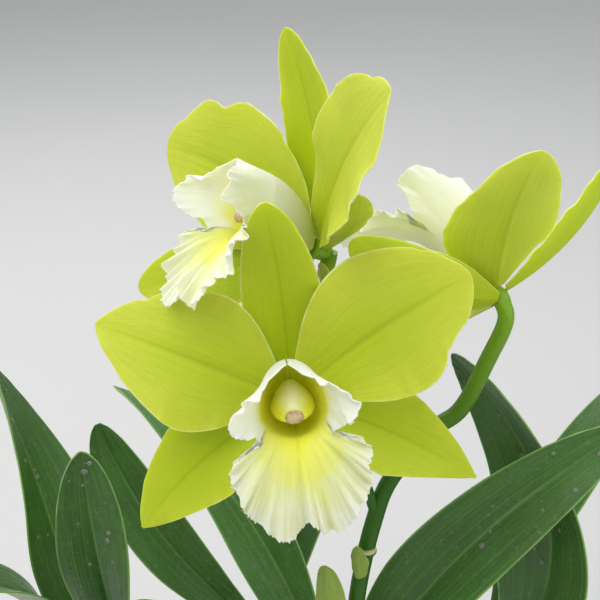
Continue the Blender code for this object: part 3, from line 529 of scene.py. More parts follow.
class OrchidDropSettings(bpy.types.PropertyGroup):
    """Water drops on the leaves and one petal."""

    count: IntProperty(name="Drops", description="Drops on each wet blade", default=13, min=0, max=200)
    radius: FloatProperty(
        name="Largest drop", description="Radius of the largest drop", default=0.0016, unit="LENGTH"
    )


class OrchidStageSettings(bpy.types.PropertyGroup):
    """Floor and light."""

    floor: colour_property("Floor", "Plain pale floor", "C6C5C3")
    key: light_property("Key light", "Overhead soft light", 16.5)
    fill: light_property("Fill light", "Soft light from the right", 9)
    back: light_property("Back light", "Soft light through the petals", 13)
    sky: FloatProperty(name="Sky", description="Even light from all round", default=0.6, min=0)


# Materials


def node(material, kind, inputs=(), out=0, **settings):
    """Adds a node with its settings, sets or links its inputs in order or by name, and gives an output."""
    made = material.node_tree.nodes.new(f"ShaderNode{kind}")
    for name, value in settings.items():
        setattr(made, name, value)
    for name, value in inputs.items() if isinstance(inputs, dict) else enumerate(inputs):
        socket = made.inputs[name]
        if isinstance(value, bpy.types.NodeSocket):
            material.node_tree.links.new(value, socket)
        elif socket.type == "RGBA":
            socket.default_value = (*value, 1)
        else:
            socket.default_value = value
    return made.outputs[out]


def new_material(name, **values):
    """A material whose shader has these values on its own sockets, and what links to those sockets."""
    material = bpy.data.materials.new(name)
    material.use_nodes = True
    shader = material.node_tree.nodes["Principled BSDF"]
    for socket, value in values.items():
        shader.inputs[socket.replace("_", " ")].default_value = value

    def finish(colour, height, depth, roughness=None):
        """Links the colour, a relief of this depth in metres and a roughness that varies."""
        links = material.node_tree.links
        links.new(colour, shader.inputs["Base Color"])
        relief = node(material, "Bump", {"Height": height, "Distance": depth, "Strength": 0.8})
        links.new(relief, shader.inputs["Normal"])
        if roughness is not None:
            links.new(roughness, shader.inputs["Roughness"])
        return material

    return material, finish


def places(material):
    """Where a point is: in metres, on its sheet, how far along it, and how far from its midline."""
    metres = node(material, "TexCoord", out="Object")
    sheet = node(material, "UVMap", uv_map="sheet")
    across = node(material, "SeparateXYZ", (sheet,), out=0)
    along = node(material, "SeparateXYZ", (sheet,), out=1)
    far = node(material, "Math", (across, 0.5), operation="SUBTRACT")
    far = node(material, "Math", (far, 0), operation="ABSOLUTE")
    far = node(material, "Math", (far, 2), operation="MULTIPLY")
    return metres, sheet, along, far


def cloud(material, place, scale, low=0.0, high=1.0, strength=1.0, detail=4.0):
    """A share from noise on a place, 0 at low and of full strength at high.

    The scale counts patches over a metre, or over the sheet. It is one number, or
    one for each direction where the noise is stretched.
    """
    if not isinstance(scale, tuple):
        scale = (scale, scale, scale)
    spread = node(material, "Mapping", {"Vector": place, "Scale": scale})
    noise = node(material, "TexNoise", {"Vector": spread, "Scale": 1, "Detail": detail, "Roughness": 0.6})
    return node(material, "MapRange", (noise, low, high, 0, strength))


def product(material, *shares):
    """The shares multiplied together."""
    result = shares[0]
    for share in shares[1:]:
        result = node(material, "Math", (result, share), operation="MULTIPLY")
    return result


def painted(material, base, *layers):
    """The base colour with each layer's colour laid over it by that layer's share."""
    for share, colour in layers:
        base = node(material, "Mix", {0: share, 6: base, 7: colour}, out=2, data_type="RGBA")
    return base


def shade(colour, amount):
    """A colour made darker or lighter by a factor."""
    return [min(channel * amount, 1) for channel in colour]


def tepal_material(name, middle, outer, rim):
    """Living petal skin: satin and a little translucent, with nerves about 1 mm apart.

    The colour goes from the middle to a paler outer part, darkens in a narrow
    line on the midrib and ends in a thin, broken pale line at the edge.
    """
    material, finish = new_material(
        name,
        Roughness=0.5,
        IOR=1.4,
        Specular_IOR_Level=0.35,
        Subsurface_Weight=0.7,
        Subsurface_Radius=(0.9, 1.0, 0.15),
        Subsurface_Scale=0.003,
    )
    metres, sheet, along, far = places(material)
    mottle = cloud(material, metres, 60, 0.35, 0.65, 0.5)
    veins = cloud(material, sheet, (48, 2.4, 1), 0.42, 0.66, 0.16)
    outward = node(material, "Math", (far, 0.55, along), operation="MULTIPLY_ADD")
    outward = node(material, "MapRange", (outward, 0.3, 1.4, 0, 1))
    rib = node(material, "MapRange", (far, 0.06, 0, 0, 1))
    rib = product(material, rib, node(material, "MapRange", (along, 1, 0.35, 0, 0.38)))
    edge = node(material, "MapRange", (far, 0.965, 0.995, 0, 1))
    edge = product(material, edge, cloud(material, metres, 160, 0.3, 0.6, 0.7))
    colour = painted(
        material,
        middle,
        (outward, outer),
        (product(material, mottle, outward), shade(outer, 1.12)),
        (veins, shade(middle, 0.72)),
        (rib, shade(middle, 0.6)),
        (edge, rim),
        (node(material, "MapRange", (along, 0.985, 1, 0, 0.5)), rim),
    )
    grain = cloud(material, metres, 1500, detail=2)
    relief = node(material, "Math", (veins, 3, grain), operation="MULTIPLY_ADD")
    return finish(colour, relief, 0.00014, cloud(material, metres, 90, -0.9, 0.9, 0.66))


def lip_material(settings):
    """Thin frilled lip skin: white outside and at the margin, cream in the middle, yellow in the throat. The
    throat's yellow is brighter than its own as painted light, for the glow through its thin walls where the
    tube shades it.
    """
    material, finish = new_material(
        "lip_skin",
        Roughness=0.52,
        IOR=1.4,
        Specular_IOR_Level=0.3,
        Subsurface_Weight=0.7,
        Subsurface_Radius=(1.0, 1.0, 0.5),
        Subsurface_Scale=0.0025,
    )
    metres, sheet, along, far = places(material)
    inside = node(material, "Attribute", out="Fac", attribute_name="front")
    outside = node(material, "Math", (1, inside), operation="SUBTRACT")
    middle = node(material, "Attribute", out="Fac", attribute_name="middle_lobe")
    side = node(material, "Math", (1, middle), operation="SUBTRACT")
    reach = node(material, "Math", (along, cloud(material, metres, 110, 0.2, 0.8, 0.16)), operation="ADD")
    yellow = node(material, "Math", (far, 0.4, reach), operation="MULTIPLY_ADD")
    yellow = node(material, "MapRange", (yellow, 1.0, 0.66, 0, 1))
    side_yellow = product(material, node(material, "MapRange", (reach, 0.82, 0.5, 0, 1)), side)
    yellow = node(material, "Math", (yellow, middle, side_yellow), operation="MULTIPLY_ADD")
    foot = node(material, "MapRange", (along, 0.34, 0.06, 0, 0.8))
    line = node(material, "MapRange", (far, 0.012, 0.004, 0, 0.5))
    line = product(material, line, node(material, "MapRange", (along, 0.9, 0.6, 0, 1)), inside)
    streaks = product(material, cloud(material, sheet, (110, 2.2, 1), 0.48, 0.72, 0.5), middle)
    colour = painted(
        material,
        settings.lip_cream,
        (node(material, "MapRange", (reach, 0.84, 1.1, 0, 0.85)), settings.lip),
        (streaks, shade(settings.lip_cream, 0.8)),
        (side, settings.lip),
        # The throat's own yellow, brightened as painted light: it stands for light that shines through the
        # tube's thin walls into its shade.
        (product(material, yellow, inside), settings.throat),
        (outside, settings.lip),
        (product(material, foot, outside), settings.petal_pale),
        (line, shade(settings.throat, 0.62)),
    )
    pleats = cloud(material, sheet, (150, 2.0, 1))
    relief = node(material, "Math", (cloud(material, metres, 1400), 0.3, pleats), operation="MULTIPLY_ADD")
    return finish(colour, relief, 0.00025)


def leaf_material(settings):
    """Leathery leaf: dark and satin, with fine lengthwise streaks, a paler midrib and a dull underside."""
    material, finish = new_material(
        "orchid_leaf", Roughness=0.38, IOR=1.45, Coat_Weight=0.2, Coat_Roughness=0.26
    )
    metres, sheet, along, far = places(material)
    upper = node(material, "Attribute", out="Fac", attribute_name="front")
    streaks = cloud(material, sheet, (34, 1.6, 1), 0.45, 0.75, 0.4)
    rib = node(material, "MapRange", (far, 0.07, 0, 0, 1))
    rib = product(material, rib, node(material, "MapRange", (along, 1, 0.5, 0, 0.6)))
    dust = cloud(material, metres, 420, 0.58, 0.74, 0.22, 5)
    colour = painted(
        material,
        settings.leaf,
        (cloud(material, metres, 28, 0.35, 0.7), shade(settings.leaf, 0.7)),
        (streaks, settings.leaf_pale),
        (rib, settings.leaf_pale),
        (node(material, "Math", (1, upper), operation="SUBTRACT"), settings.leaf_under),
        (node(material, "MapRange", (far, 0.955, 0.99, 0, 0.75)), shade(settings.leaf_pale, 1.3)),
        (dust, LEAF_DUST),
    )
    fine = cloud(material, sheet, (150, 3, 1), detail=2)
    relief = node(material, "Math", (streaks, 2, fine), operation="MULTIPLY_ADD")
    return finish(colour, relief, 0.00022, cloud(material, metres, 300, 0, 1, 0.66, 5))


def stem_material(settings):
    """Smooth living stem: deep green, paler close to the blooms, with a dry ring at its node."""
    material, finish = new_material(
        "flower_stem_skin", Roughness=0.4, IOR=1.42, Subsurface_Weight=0.08, Subsurface_Scale=0.0015
    )
    metres = node(material, "TexCoord", out="Object")
    height = node(material, "SeparateXYZ", (metres,), out=2)
    ring = RING_PLACE[2]
    above = node(material, "MapRange", (height, ring + 0.0002, ring + 0.0008, 0, 0.85))
    below = node(material, "MapRange", (height, ring + 0.0024, ring + 0.0014, 0, 1))
    colour = painted(
        material,
        settings.stem,
        (node(material, "MapRange", (height, 0.35, 0.41, 0, 1)), settings.stalk),
        (cloud(material, metres, (900, 900, 220), 0.5, 0.75, 0.3), shade(settings.stem, 0.6)),
        (product(material, above, below), settings.node),
    )
    return finish(colour, cloud(material, metres, (1200, 1200, 60)), 0.00015)


def sheath_material(name, skin, speckle):
    """Thin green sheath with lengthwise nerves, small dark speckles and a dry, pale margin."""
    material, finish = new_material(
        name, Roughness=0.52, IOR=1.4, Subsurface_Weight=0.1, Subsurface_Scale=0.001
    )
    metres, sheet, _, far = places(material)
    nerves = cloud(material, sheet, (40, 1.8, 1), 0.35, 0.7)
    colour = painted(
        material,
        shade(skin, 0.78),
        (nerves, skin),
        (cloud(material, metres, 900, 0.6, 0.68, speckle), SHEATH_SPECKLE),
        (node(material, "MapRange", (far, 0.93, 1, 0, 0.5)), SHEATH_MARGIN),
    )
    return finish(colour, nerves, 0.00025)


def column_material(settings):
    """Waxy column: cream along its top and yellow towards its edges and foot, both brighter than its own
    colours as painted light against the throat's shade.
    """
    material, finish = new_material(
        "column_wax",
        Roughness=0.36,
        IOR=1.44,
        Subsurface_Weight=0.2,
        Subsurface_Radius=(1.0, 0.95, 0.3),
        Subsurface_Scale=0.002,
    )
    metres, sheet, along, _ = places(material)
    around = node(material, "SeparateXYZ", (sheet,), out=0)
    off_top = node(material, "Math", (around, 0.25), operation="SUBTRACT")
    off_top = node(material, "Math", (off_top, 0), operation="ABSOLUTE")
    cream = node(material, "MapRange", (off_top, 0.2, 0.05, 0, 1))
    cream = product(material, cream, node(material, "MapRange", (along, 0.35, 0.85, 0, 1)))
    mottle = cloud(material, metres, 260, 0.5, 0.8, 0.25)
    # Both colours are brighter than the column's own: painted light against the shade in the throat.
    colour = painted(
        material, settings.column_side, (cream, settings.column), (mottle, shade(settings.column_side, 0.8))
    )
    return finish(colour, mottle, 0.0002)


def anther_material(settings):
    """Granular anther cap: pinkish cream with small brown grains."""
    material, finish = new_material(
        "anther_grain", Roughness=0.62, IOR=1.4, Subsurface_Weight=0.1, Subsurface_Scale=0.0008
    )
    metres = node(material, "TexCoord", out="Object")
    marks = cloud(material, metres, 700, 0.52, 0.66, 0.6, 2)
    colour = painted(material, settings.anther, (marks, settings.anther_mark))
    return finish(colour, cloud(material, metres, 1700), 0.0004)


def bulb_material(settings):
    """Pseudobulb skin: smooth green in uneven tones, with grey scurf in streaks."""
    material, finish = new_material("pseudobulb_skin", Roughness=0.44, IOR=1.42)
    metres = node(material, "TexCoord", out="Object")
    scurf = cloud(material, metres, (380, 380, 26), 0.52, 0.72, 0.45)
    colour = painted(
        material,
        shade(settings.bulb, 0.75),
        (cloud(material, metres, (45, 45, 20), 0.3, 0.7), shade(settings.bulb, 1.2)),
        (scurf, BULB_SCURF),
    )
    return finish(colour, scurf, 0.0004)


def paper_material(settings):
    """Dry papery sheath: pale straw with brown lengthwise fibres and stains."""
    material, finish = new_material("dry_sheath_paper", Roughness=0.78, IOR=1.45)
    metres = node(material, "TexCoord", out="Object")
    fibres = cloud(material, metres, (620, 620, 30), 0.35, 0.72)
    colour = painted(
        material,
        shade(settings.paper, 0.6),
        (fibres, settings.paper),
        (cloud(material, metres, (70, 70, 50), 0.52, 0.75, 0.55), PAPER_STAIN),
    )
    return finish(colour, fibres, 0.0003)


def root_material(name, skin, stain):
    """Spongy root skin or woody rhizome: matt, grainy and stained in patches."""
    material, finish = new_material(name, Roughness=0.86, IOR=1.45)
    metres = node(material, "TexCoord", out="Object")
    patches = cloud(material, metres, 120, 0.38, 0.68, 1, 5)
    relief = node(material, "Math", (cloud(material, metres, 900), patches), operation="ADD")
    return finish(painted(material, stain, (patches, skin)), relief, 0.0004)


def bark_material(settings):
    """Broken fir bark: brown in layers along its grain, with dark pits, each chip in its own tone."""
    material, finish = new_material("fir_bark", Roughness=0.92, IOR=1.5)
    metres, sheet, _, _ = places(material)
    grain = cloud(material, sheet, (3, 22, 1), 0.45, 0.7, 0.6, 5)
    pits = cloud(material, metres, 500, 0.52, 0.4, 0.5, 5)
    colour = painted(
        material,
        settings.bark_dark,
        (node(material, "Attribute", out="Fac", attribute_name="tone"), settings.bark),
        (grain, shade(settings.bark, 1.6)),
        (pits, shade(settings.bark_dark, 0.5)),
    )
    return finish(colour, node(material, "Math", (grain, pits), operation="SUBTRACT"), 0.0008)


def pot_material(settings):
    """Moulded black polypropylene: satin, with a fine grain, dust and pale marks where water ran."""
    material, finish = new_material("moulded_nursery_plastic", Roughness=0.42, IOR=1.49)
    metres = node(material, "TexCoord", out="Object")
    dust = cloud(material, metres, (55, 55, 30), 0.52, 0.8, 0.22, 6)
    colour = painted(
        material,
        settings.pot,
        (dust, POT_DUST),
        (cloud(material, metres, (260, 260, 9), 0.6, 0.78, 0.1), WATER_MARKS),
    )
    roughness = node(material, "Math", (dust, 1.0, 0.36), operation="MULTIPLY_ADD")
    return finish(colour, cloud(material, metres, 1300), 0.00006, roughness)


def water_material():
    """Water drops: glossy and partly clear, with a painted reflection of the sky as their colour, paler than
    the blade.
    """
    material, finish = new_material("water", Roughness=0.04, IOR=1.333, Transmission_Weight=0.6)
    uneven = cloud(material, node(material, "TexCoord", out="Object"), 900)
    # Painted reflection: the drop's green and pale colours stand for sky and blade seen in the water, in
    # uneven patches.
    return finish(painted(material, DROP_REFLECTION_GREEN, (uneven, DROP_REFLECTION_PALE)), uneven, 0.00001)


def floor_material(settings):
    """Plain pale matt floor with a very faint unevenness."""
    material, finish = new_material("pale_floor", Roughness=0.85, IOR=1.45)
    metres = node(material, "TexCoord", out="Object")
    colour = painted(
        material, shade(settings.floor, 0.97), (cloud(material, metres, 3), shade(settings.floor, 1.03))
    )
    return finish(colour, cloud(material, metres, 900), 0.0001)


# Shapes


def unit(direction):
    """The direction at length 1."""
    direction = np.asarray(direction, float)
    return direction / np.linalg.norm(direction)


def circle(sides):
    """Angles in radians spread evenly round a circle."""
    return np.linspace(0, 2 * math.pi, sides, endpoint=False)


def ramp(value, start, end):
    """0 up to the start, 1 past the end and straight between them."""
    return np.clip((value - start) / (end - start), 0, 1)


def bell(value, middle, reach):
    """A bell curve, 1 at the middle and about a third at its reach."""
    return np.exp(-(((value - middle) / reach) ** 2))


def joined(x, y, z):
    """Points of coordinates that each are one number, an array or arrays that fit together."""
    return np.stack(np.broadcast_arrays(x, y, z), axis=-1)


def axes_of(face, top):
    """Columns right, up and forward of a flower that faces one way with its top another."""
    forward = unit(face)
    up = unit(np.asarray(top) - np.dot(top, forward) * forward)
    return np.stack([np.cross(up, forward), up, forward], axis=1)


def angles_between(ends, share):
    """Angles in radians that run evenly between two in degrees."""
    return np.radians(ends[0] + (ends[1] - ends[0]) * share)


def half_width(shape, share):
    """Half of the blade's width: a sine up to the widest place, then a power curve to the tip."""
    rise = shape.claw + (shape.half_width - shape.claw) * np.sin(math.pi / 2 * ramp(share, 0, shape.peak))
    fall = 1 - ramp(share, shape.peak, 1) ** shape.tip
    fall = shape.half_width * np.maximum(fall, 0) ** (1 / min(shape.tip, 2))
    return np.maximum(np.where(share < shape.peak, rise, fall), TIP_HALF_WIDTH)


def blade_grid(shape, rows, columns, relief):
    """Points of a blade that starts at the origin along +Y, with its upper side towards +Z.

    The midrib is the sum of short steps whose pitch and yaw change evenly along
    it. Across it, each side is straight, turned by the twist, lifted by the
    fold, curled by the cup and waved by the ruffle. Relief adds a small lift,
    and nicks pull the edge in by bell curves along it.
    """
    share = 1 - (1 - np.linspace(0, 1, rows)) ** 1.5
    pitch = angles_between(shape.pitch, share)
    yaw = angles_between((0, shape.yaw), share)
    twist = angles_between(shape.twist, share)[:, None]
    fold = angles_between(shape.fold, share)[:, None]
    along = joined(np.sin(yaw) * np.cos(pitch), np.cos(yaw) * np.cos(pitch), np.sin(pitch))
    aside = joined(np.cos(yaw), -np.sin(yaw), 0)
    above = np.cross(aside, along)
    steps = (along[1:] + along[:-1]) / 2 * (np.diff(share) * shape.length)[:, None]
    midrib = np.concatenate([np.zeros((1, 3)), np.cumsum(steps, axis=0)])
    turned = aside * np.cos(twist) + above * np.sin(twist)
    raised = above * np.cos(twist) - aside * np.sin(twist)
    across = np.linspace(-1, 1, columns)
    offset = half_width(shape, share)[:, None] * across
    share = share[:, None]
    height, waves, phase = shape.ruffle
    wave = np.sin(2 * math.pi * waves * share + phase + np.where(across > 0, 1.3, 0))
    lift = (np.sqrt(offset**2 + MIDRIB_ROUNDING**2) - MIDRIB_ROUNDING) * np.sin(fold)
    lift = lift + shape.cup * offset**2 / shape.half_width
    lift = lift + height * across**2 * wave * np.sqrt(np.sin(math.pi * share))
    lift = lift + relief(share, across, offset)
    pull = 1
    for side, place, depth, reach in shape.nicks:
        pull = pull - depth * bell(share, place, reach) * np.clip(across * side, 0, 1) ** 3
    offset = offset * pull * np.cos(fold)
    return midrib[:, None] + offset[..., None] * turned[:, None] + lift[..., None] * raised[:, None]


def petal_relief(phase):
    """A groove along the midrib, faint nerves, and a fine uneven wave at the edge."""
    depth, reach = PETAL_GROOVE

    def relief(share, across, offset):
        groove = -depth * bell(offset, 0, reach) * np.sqrt(1 - share)
        nerves = PETAL_NERVE * np.cos(2 * math.pi * offset / NERVE_SPACING) * (1 - across**2)
        turn = 2 * math.pi * share + np.where(across > 0, 2.0, 0.0) + phase
        ripple = np.sin(4.0 * turn) + 0.6 * np.sin(7.3 * turn + 1.0) + 0.4 * np.sin(11.1 * turn)
        calm = np.sqrt(np.clip(np.sin(math.pi * share), 0, 1))
        return groove + nerves + PETAL_RIPPLE * across**4 * ripple * calm

    return relief


def leaf_relief(phase):
    """A channel along the midrib, shallow lengthwise ridges, and a slightly uneven edge."""
    depth, reach = LEAF_CHANNEL

    def relief(share, across, offset):
        channel = -depth * bell(offset, 0, reach) * np.sqrt(1 - share)
        ridges = LEAF_RIDGE * np.cos(2 * math.pi * offset / RIDGE_SPACING + phase)
        sway = LEAF_SWAY * np.sin(2 * math.pi * 2.3 * share + phase + np.where(across > 0, 1.7, 0.0))
        return channel + ridges + sway * np.abs(across) ** 3

    return relief


def turned_about_z(points, degrees):
    """Points turned clockwise, seen from above, so that +Y goes towards +X."""
    return points @ np.array(Matrix.Rotation(math.radians(degrees), 3, "Z"))


def standing_grid(blade, cells, phase):
    """Points in the world of a leaf or bract, given as its foot, heading and shape."""
    foot, heading, shape = blade
    return np.array(foot) + turned_about_z(blade_grid(shape, *cells, leaf_relief(phase)), heading)


def tepal_grid(bloom, shape, seat_rise, cells, phase):
    """A tepal's points in the world, seated on the side of the bloom's receptacle."""
    grid = blade_grid(shape, *cells, petal_relief(phase)) + np.array([0, TEPAL_SEAT_RADIUS, seat_rise])
    return np.array(bloom.place) + turned_about_z(grid, shape.clock) @ axes_of(bloom.face, bloom.top).T


def smooth_through(points, shares):
    """Points at shares 0 to 1 of a smooth curve through the given points (Catmull-Rom)."""
    points = np.asarray(points, float)
    padded = np.concatenate([[2 * points[0] - points[1]], points, [2 * points[-1] - points[-2]]])
    reach = np.concatenate([[0], np.cumsum(np.linalg.norm(np.diff(points, axis=0), axis=1))])
    place = np.interp(np.asarray(shares) * reach[-1], reach, np.arange(len(points)))
    start = np.minimum(place.astype(int), len(points) - 2)
    t = (place - start)[:, None]
    p0, p1, p2, p3 = (padded[start + k] for k in range(4))
    square = 2 * p0 - 5 * p1 + 4 * p2 - p3
    cube = 3 * p1 - p0 - 3 * p2 + p3
    return 0.5 * (2 * p1 + (p2 - p0) * t + square * t**2 + cube * t**3)


def lift_middle_lobe(points, freedom, degrees):
    """Turns the middle lobe up about the hinge at the sinus, less towards the sinus itself."""
    angle = np.radians(degrees) * freedom
    up = points[:, 1] - SINUS_HINGE[0]
    forward = points[:, 2] - SINUS_HINGE[1]
    return joined(
        points[:, 0],
        SINUS_HINGE[0] + up * np.cos(angle) + forward * np.sin(angle),
        SINUS_HINGE[1] - up * np.sin(angle) + forward * np.cos(angle),
    )


def half_lip(lobe, margin, turns, cells, lift):
    """One lobe's half of the lip, as columns of points from the lip's foot out to its margin.

    Each column leaves a small ring at the foot, widens with the throat round
    the column, and bends as a quadratic curve out to its place on the margin.
    """
    shares = np.linspace(0, 1, cells + 1)
    edge = smooth_through(margin, shares)
    angle = angles_between(turns, shares)
    side = np.sin(angle)
    drop = np.cos(angle)
    below = np.where(drop > 0, THROAT_BELOW, THROAT_ABOVE)
    mouth = joined(THROAT_ACROSS * side, -below * drop, THROAT_FORWARD)
    foot = joined(LIP_FOOT_RADIUS * side, -LIP_FOOT_RADIUS * drop, LIP_FOOT_FORWARD)
    from_sinus = 1 - shares if lobe == "middle" else shares
    bend = mouth + joined(0, 0, BEND_FORWARD[0] + BEND_FORWARD[1] * np.clip(4 * from_sinus, 0, 1))
    if lobe == "middle":
        freedom = np.sqrt(from_sinus)
        bend = bend + joined(0.15 * mouth[:, 0], *MIDDLE_BEND) * freedom[:, None]
        edge = lift_middle_lobe(edge, freedom, lift)
    share = np.linspace(0, 1, LIP_ROWS + 1)[:, None, None]
    tube = ramp(share, 0, THROAT_SHARE)
    widen = np.concatenate([tube**0.85, np.sin(math.pi / 2 * tube**0.65), tube], axis=2)
    throat = foot + (mouth - foot) * widen
    out = ramp(share, THROAT_SHARE, 1)
    flare = (1 - out) ** 2 * mouth + 2 * out * (1 - out) * bend + out**2 * edge
    return np.where(share < THROAT_SHARE, throat, flare)


def surface_normals(grid):
    """The unit normal at each point of a grid."""
    normal = np.cross(np.gradient(grid, axis=1), np.gradient(grid, axis=0))
    return normal / np.maximum(np.linalg.norm(normal, axis=2, keepdims=True), NO_LENGTH)


def by_sinus(columns, reach):
    """Bell curves over the lip's columns, 1 where the middle and side lobes meet."""
    from_middle = np.abs(np.arange(columns) - columns // 2)
    return bell(from_middle, LIP_MIDDLE_CELLS / 2, reach)


def smooth_lip(bloom):
    """The whole lip in the flower's own axes, from one seam above the column round to the other.

    It is eased over repeated averages where the lobes meet.
    """
    middle = half_lip("middle", MIDDLE_LOBE_MARGIN, (0, SINUS_ANGLE), LIP_MIDDLE_CELLS // 2, bloom.lip_lift)
    side = half_lip("side", SIDE_LOBE_MARGIN, (SINUS_ANGLE, SEAM_ANGLE), LIP_SIDE_CELLS, 0)
    half = np.concatenate([middle, side[:, 1:]], axis=1)
    other = half[:, :0:-1] * np.array([-1, 1, 1])
    grid = np.concatenate([other, half], axis=1)
    eased = grid.copy()
    for _ in range(SINUS_EASINGS):
        eased[:, 1:-1] = (eased[:, :-2] + eased[:, 1:-1] + eased[:, 2:]) / 3
    return grid + (eased - grid) * by_sinus(grid.shape[1], 9)[:, None]


def lip_grid(bloom):
    """The lip with its relief and fringe.

    Its margin is waved by two sines round it. Finer waves and a fringe of uneven
    teeth, split by deeper notches, come in over the last part of the way out,
    with low pleats behind them and a groove along the middle. All but the
    groove calm down at the seam and where the lobes meet.
    """
    grid = smooth_lip(bloom)
    columns = grid.shape[1]
    round_it = np.linspace(0, 1, columns)
    turn = 2 * math.pi * round_it
    share = np.linspace(0, 1, LIP_ROWS + 1)[:, None]
    calm = np.minimum(1, 12 * np.minimum(round_it, 1 - round_it)) * (1 - 0.95 * by_sinus(columns, 12))
    wave = np.sin(11 * turn + 0.6) + 0.5 * np.sin(17 * turn)
    frill = np.sin(29 * turn + 1.1) + 0.7 * np.sin(41 * turn + 2.3 * np.sin(3 * turn))
    frill = frill + 0.4 * np.sin(67 * turn)
    pleats = np.sin(23 * turn + 0.4) * bell(share, 0.78, 0.16)
    groove = bell(round_it, 0.5, 0.006) * np.clip(1 - np.abs(share - 0.6) / 0.3, 0, 1)
    lift = LIP_RUFFLE * ramp(share, 0.58, 1) ** 2 * wave + LIP_FRILL * ramp(share, 0.82, 1) ** 1.6 * frill
    lift = (lift + LIP_PLEAT * pleats) * calm - LIP_GROOVE * groove
    teeth = 0.5 * np.abs(np.sin(47 * turn + 1.7 * np.sin(5 * turn))) + 0.5 * np.abs(np.sin(83 * turn + 0.9))
    notches = np.clip(np.sin(13 * turn + 0.8) - 0.55, 0, 1)
    fringe = TOOTH_LENGTH * teeth - TOOTH_MIDDLE - NOTCH_DEPTH * notches
    fringe = ramp(share, 0.88, 1) ** 2 * fringe * calm
    outgoing = np.diff(grid, axis=0)
    outgoing = np.concatenate([outgoing[:1], outgoing])
    outgoing = outgoing / np.maximum(np.linalg.norm(outgoing, axis=2, keepdims=True), NO_LENGTH)
    return grid + surface_normals(grid) * lift[..., None] + outgoing * fringe[..., None]


def in_bloom(bloom, points):
    """Points of the lip or the column in the world, scaled about their foot and turned up and aside."""
    up, aside = (math.radians(angle) for angle in bloom.lip_turn)
    turn = Matrix.Rotation(aside, 3, "Y") @ Matrix.Rotation(-up, 3, "X")
    axes = axes_of(bloom.face, bloom.top) @ np.array(turn)
    foot = np.array([0, 0, COLUMN_FOOT_FORWARD])
    return np.array(bloom.place) + (foot + (points - foot) * bloom.lip_scale) @ axes.T


def tube_rings(way, radii, sides, per_span=1):
    """Rings round a smooth way, each square to it, with a radius that runs between the given ones."""
    shares = np.linspace(0, 1, (len(way) - 1) * per_span + 1)
    centres = smooth_through(way, shares)
    radius = np.interp(shares, np.linspace(0, 1, len(radii)), radii)
    heading = np.gradient(centres, axis=0)
    heading /= np.linalg.norm(heading, axis=1, keepdims=True)
    aside = unit(np.cross(heading[0], OFF_AXIS))
    angle = circle(sides)[:, None]
    rings = []
    for centre, direction, reach in zip(centres, heading, radius):
        aside = unit(aside - np.dot(aside, direction) * direction)
        above = np.cross(direction, aside)
        rings.append(centre + reach * (np.cos(angle) * aside + np.sin(angle) * above))
    return np.array(rings)


def column_rings(sides, count):
    """Rings of the flower's column, which closes at the front.

    It swells as a sine up to its shoulder and closes there as an ellipse. It is
    arched along its length, keeled above and flat below.
    """
    share = np.linspace(0, 1, count)[:, None]
    swell = np.sin(math.pi / 2 * ramp(share, 0, COLUMN_SHOULDER)) ** 0.9
    close = np.sqrt(1 - (ramp(share, COLUMN_SHOULDER, 1) * 0.86) ** 2)
    reach = (COLUMN_FOOT_RADIUS + COLUMN_SWELL * swell) * close
    below = (COLUMN_FOOT_RADIUS + COLUMN_BELLY * swell) * close
    arch = COLUMN_ARCH * np.sin(math.pi * share) - COLUMN_DROOP * share
    angle = circle(sides)
    upper = np.clip(np.sin(angle), 0, 1)
    lower = np.clip(-np.sin(angle), 0, 1) ** 0.7
    return joined(
        reach * np.cos(angle) * (1 - 0.30 * upper),
        arch + reach * upper - below * lower,
        COLUMN_FOOT_FORWARD + COLUMN_LENGTH * share,
    )


def cap_rings(sides, count):
    """Rings of the anther cap, a small flattened dome in two lobes at the column's front."""
    share = 0.995 * np.sin(np.linspace(0, math.pi / 2, count))[:, None]
    angle = circle(sides)
    lobes = 1 - 0.14 * bell(angle, math.pi / 2, 0.35) - 0.10 * bell(angle, 1.5 * math.pi, 0.3)
    reach = np.sqrt(1 - share**2) * lobes
    return joined(
        CAP_HALF_WIDTH * reach * np.cos(angle),
        CAP_HALF_HEIGHT * reach * np.sin(angle) - COLUMN_DROOP,
        COLUMN_FOOT_FORWARD + COLUMN_LENGTH + CAP_GAP + CAP_DEPTH * share,
    )


def bulb_rings(foot, top, widest, sides, share, proud=0.0):
    """Rings of a club-shaped pseudobulb with blunt ridges and fine furrows.

    Its radius runs evenly from foot to top, swells by the outline between them,
    and is raised by the ridges' cosines and by how far the rings stand proud.
    """
    curve = smooth_through(BULB_SWELLING, np.linspace(0, 1, 200))
    share = share[:, None]
    swell = np.interp(share, curve[:, 0], curve[:, 1])
    angle = circle(sides)
    ridges = BULB_RIDGE * np.cos(BULB_RIDGES * angle) + BULB_FURROW * np.cos(4 * BULB_RIDGES * angle + 1.0)
    base = BULB_FOOT_RADIUS + (BULB_TOP_RADIUS - BULB_FOOT_RADIUS) * share
    reach = (base + (widest - base) * swell) * (1 + ridges * swell) + proud
    lean = np.sin(math.pi / 2 * share) ** 1.2
    return joined(
        foot[0] + (top[0] - foot[0]) * lean + reach * np.cos(angle),
        foot[1] + (top[1] - foot[1]) * lean + reach * np.sin(angle),
        PAD_TOP + SEAT + (top[2] - PAD_TOP - SEAT) * share,
    )


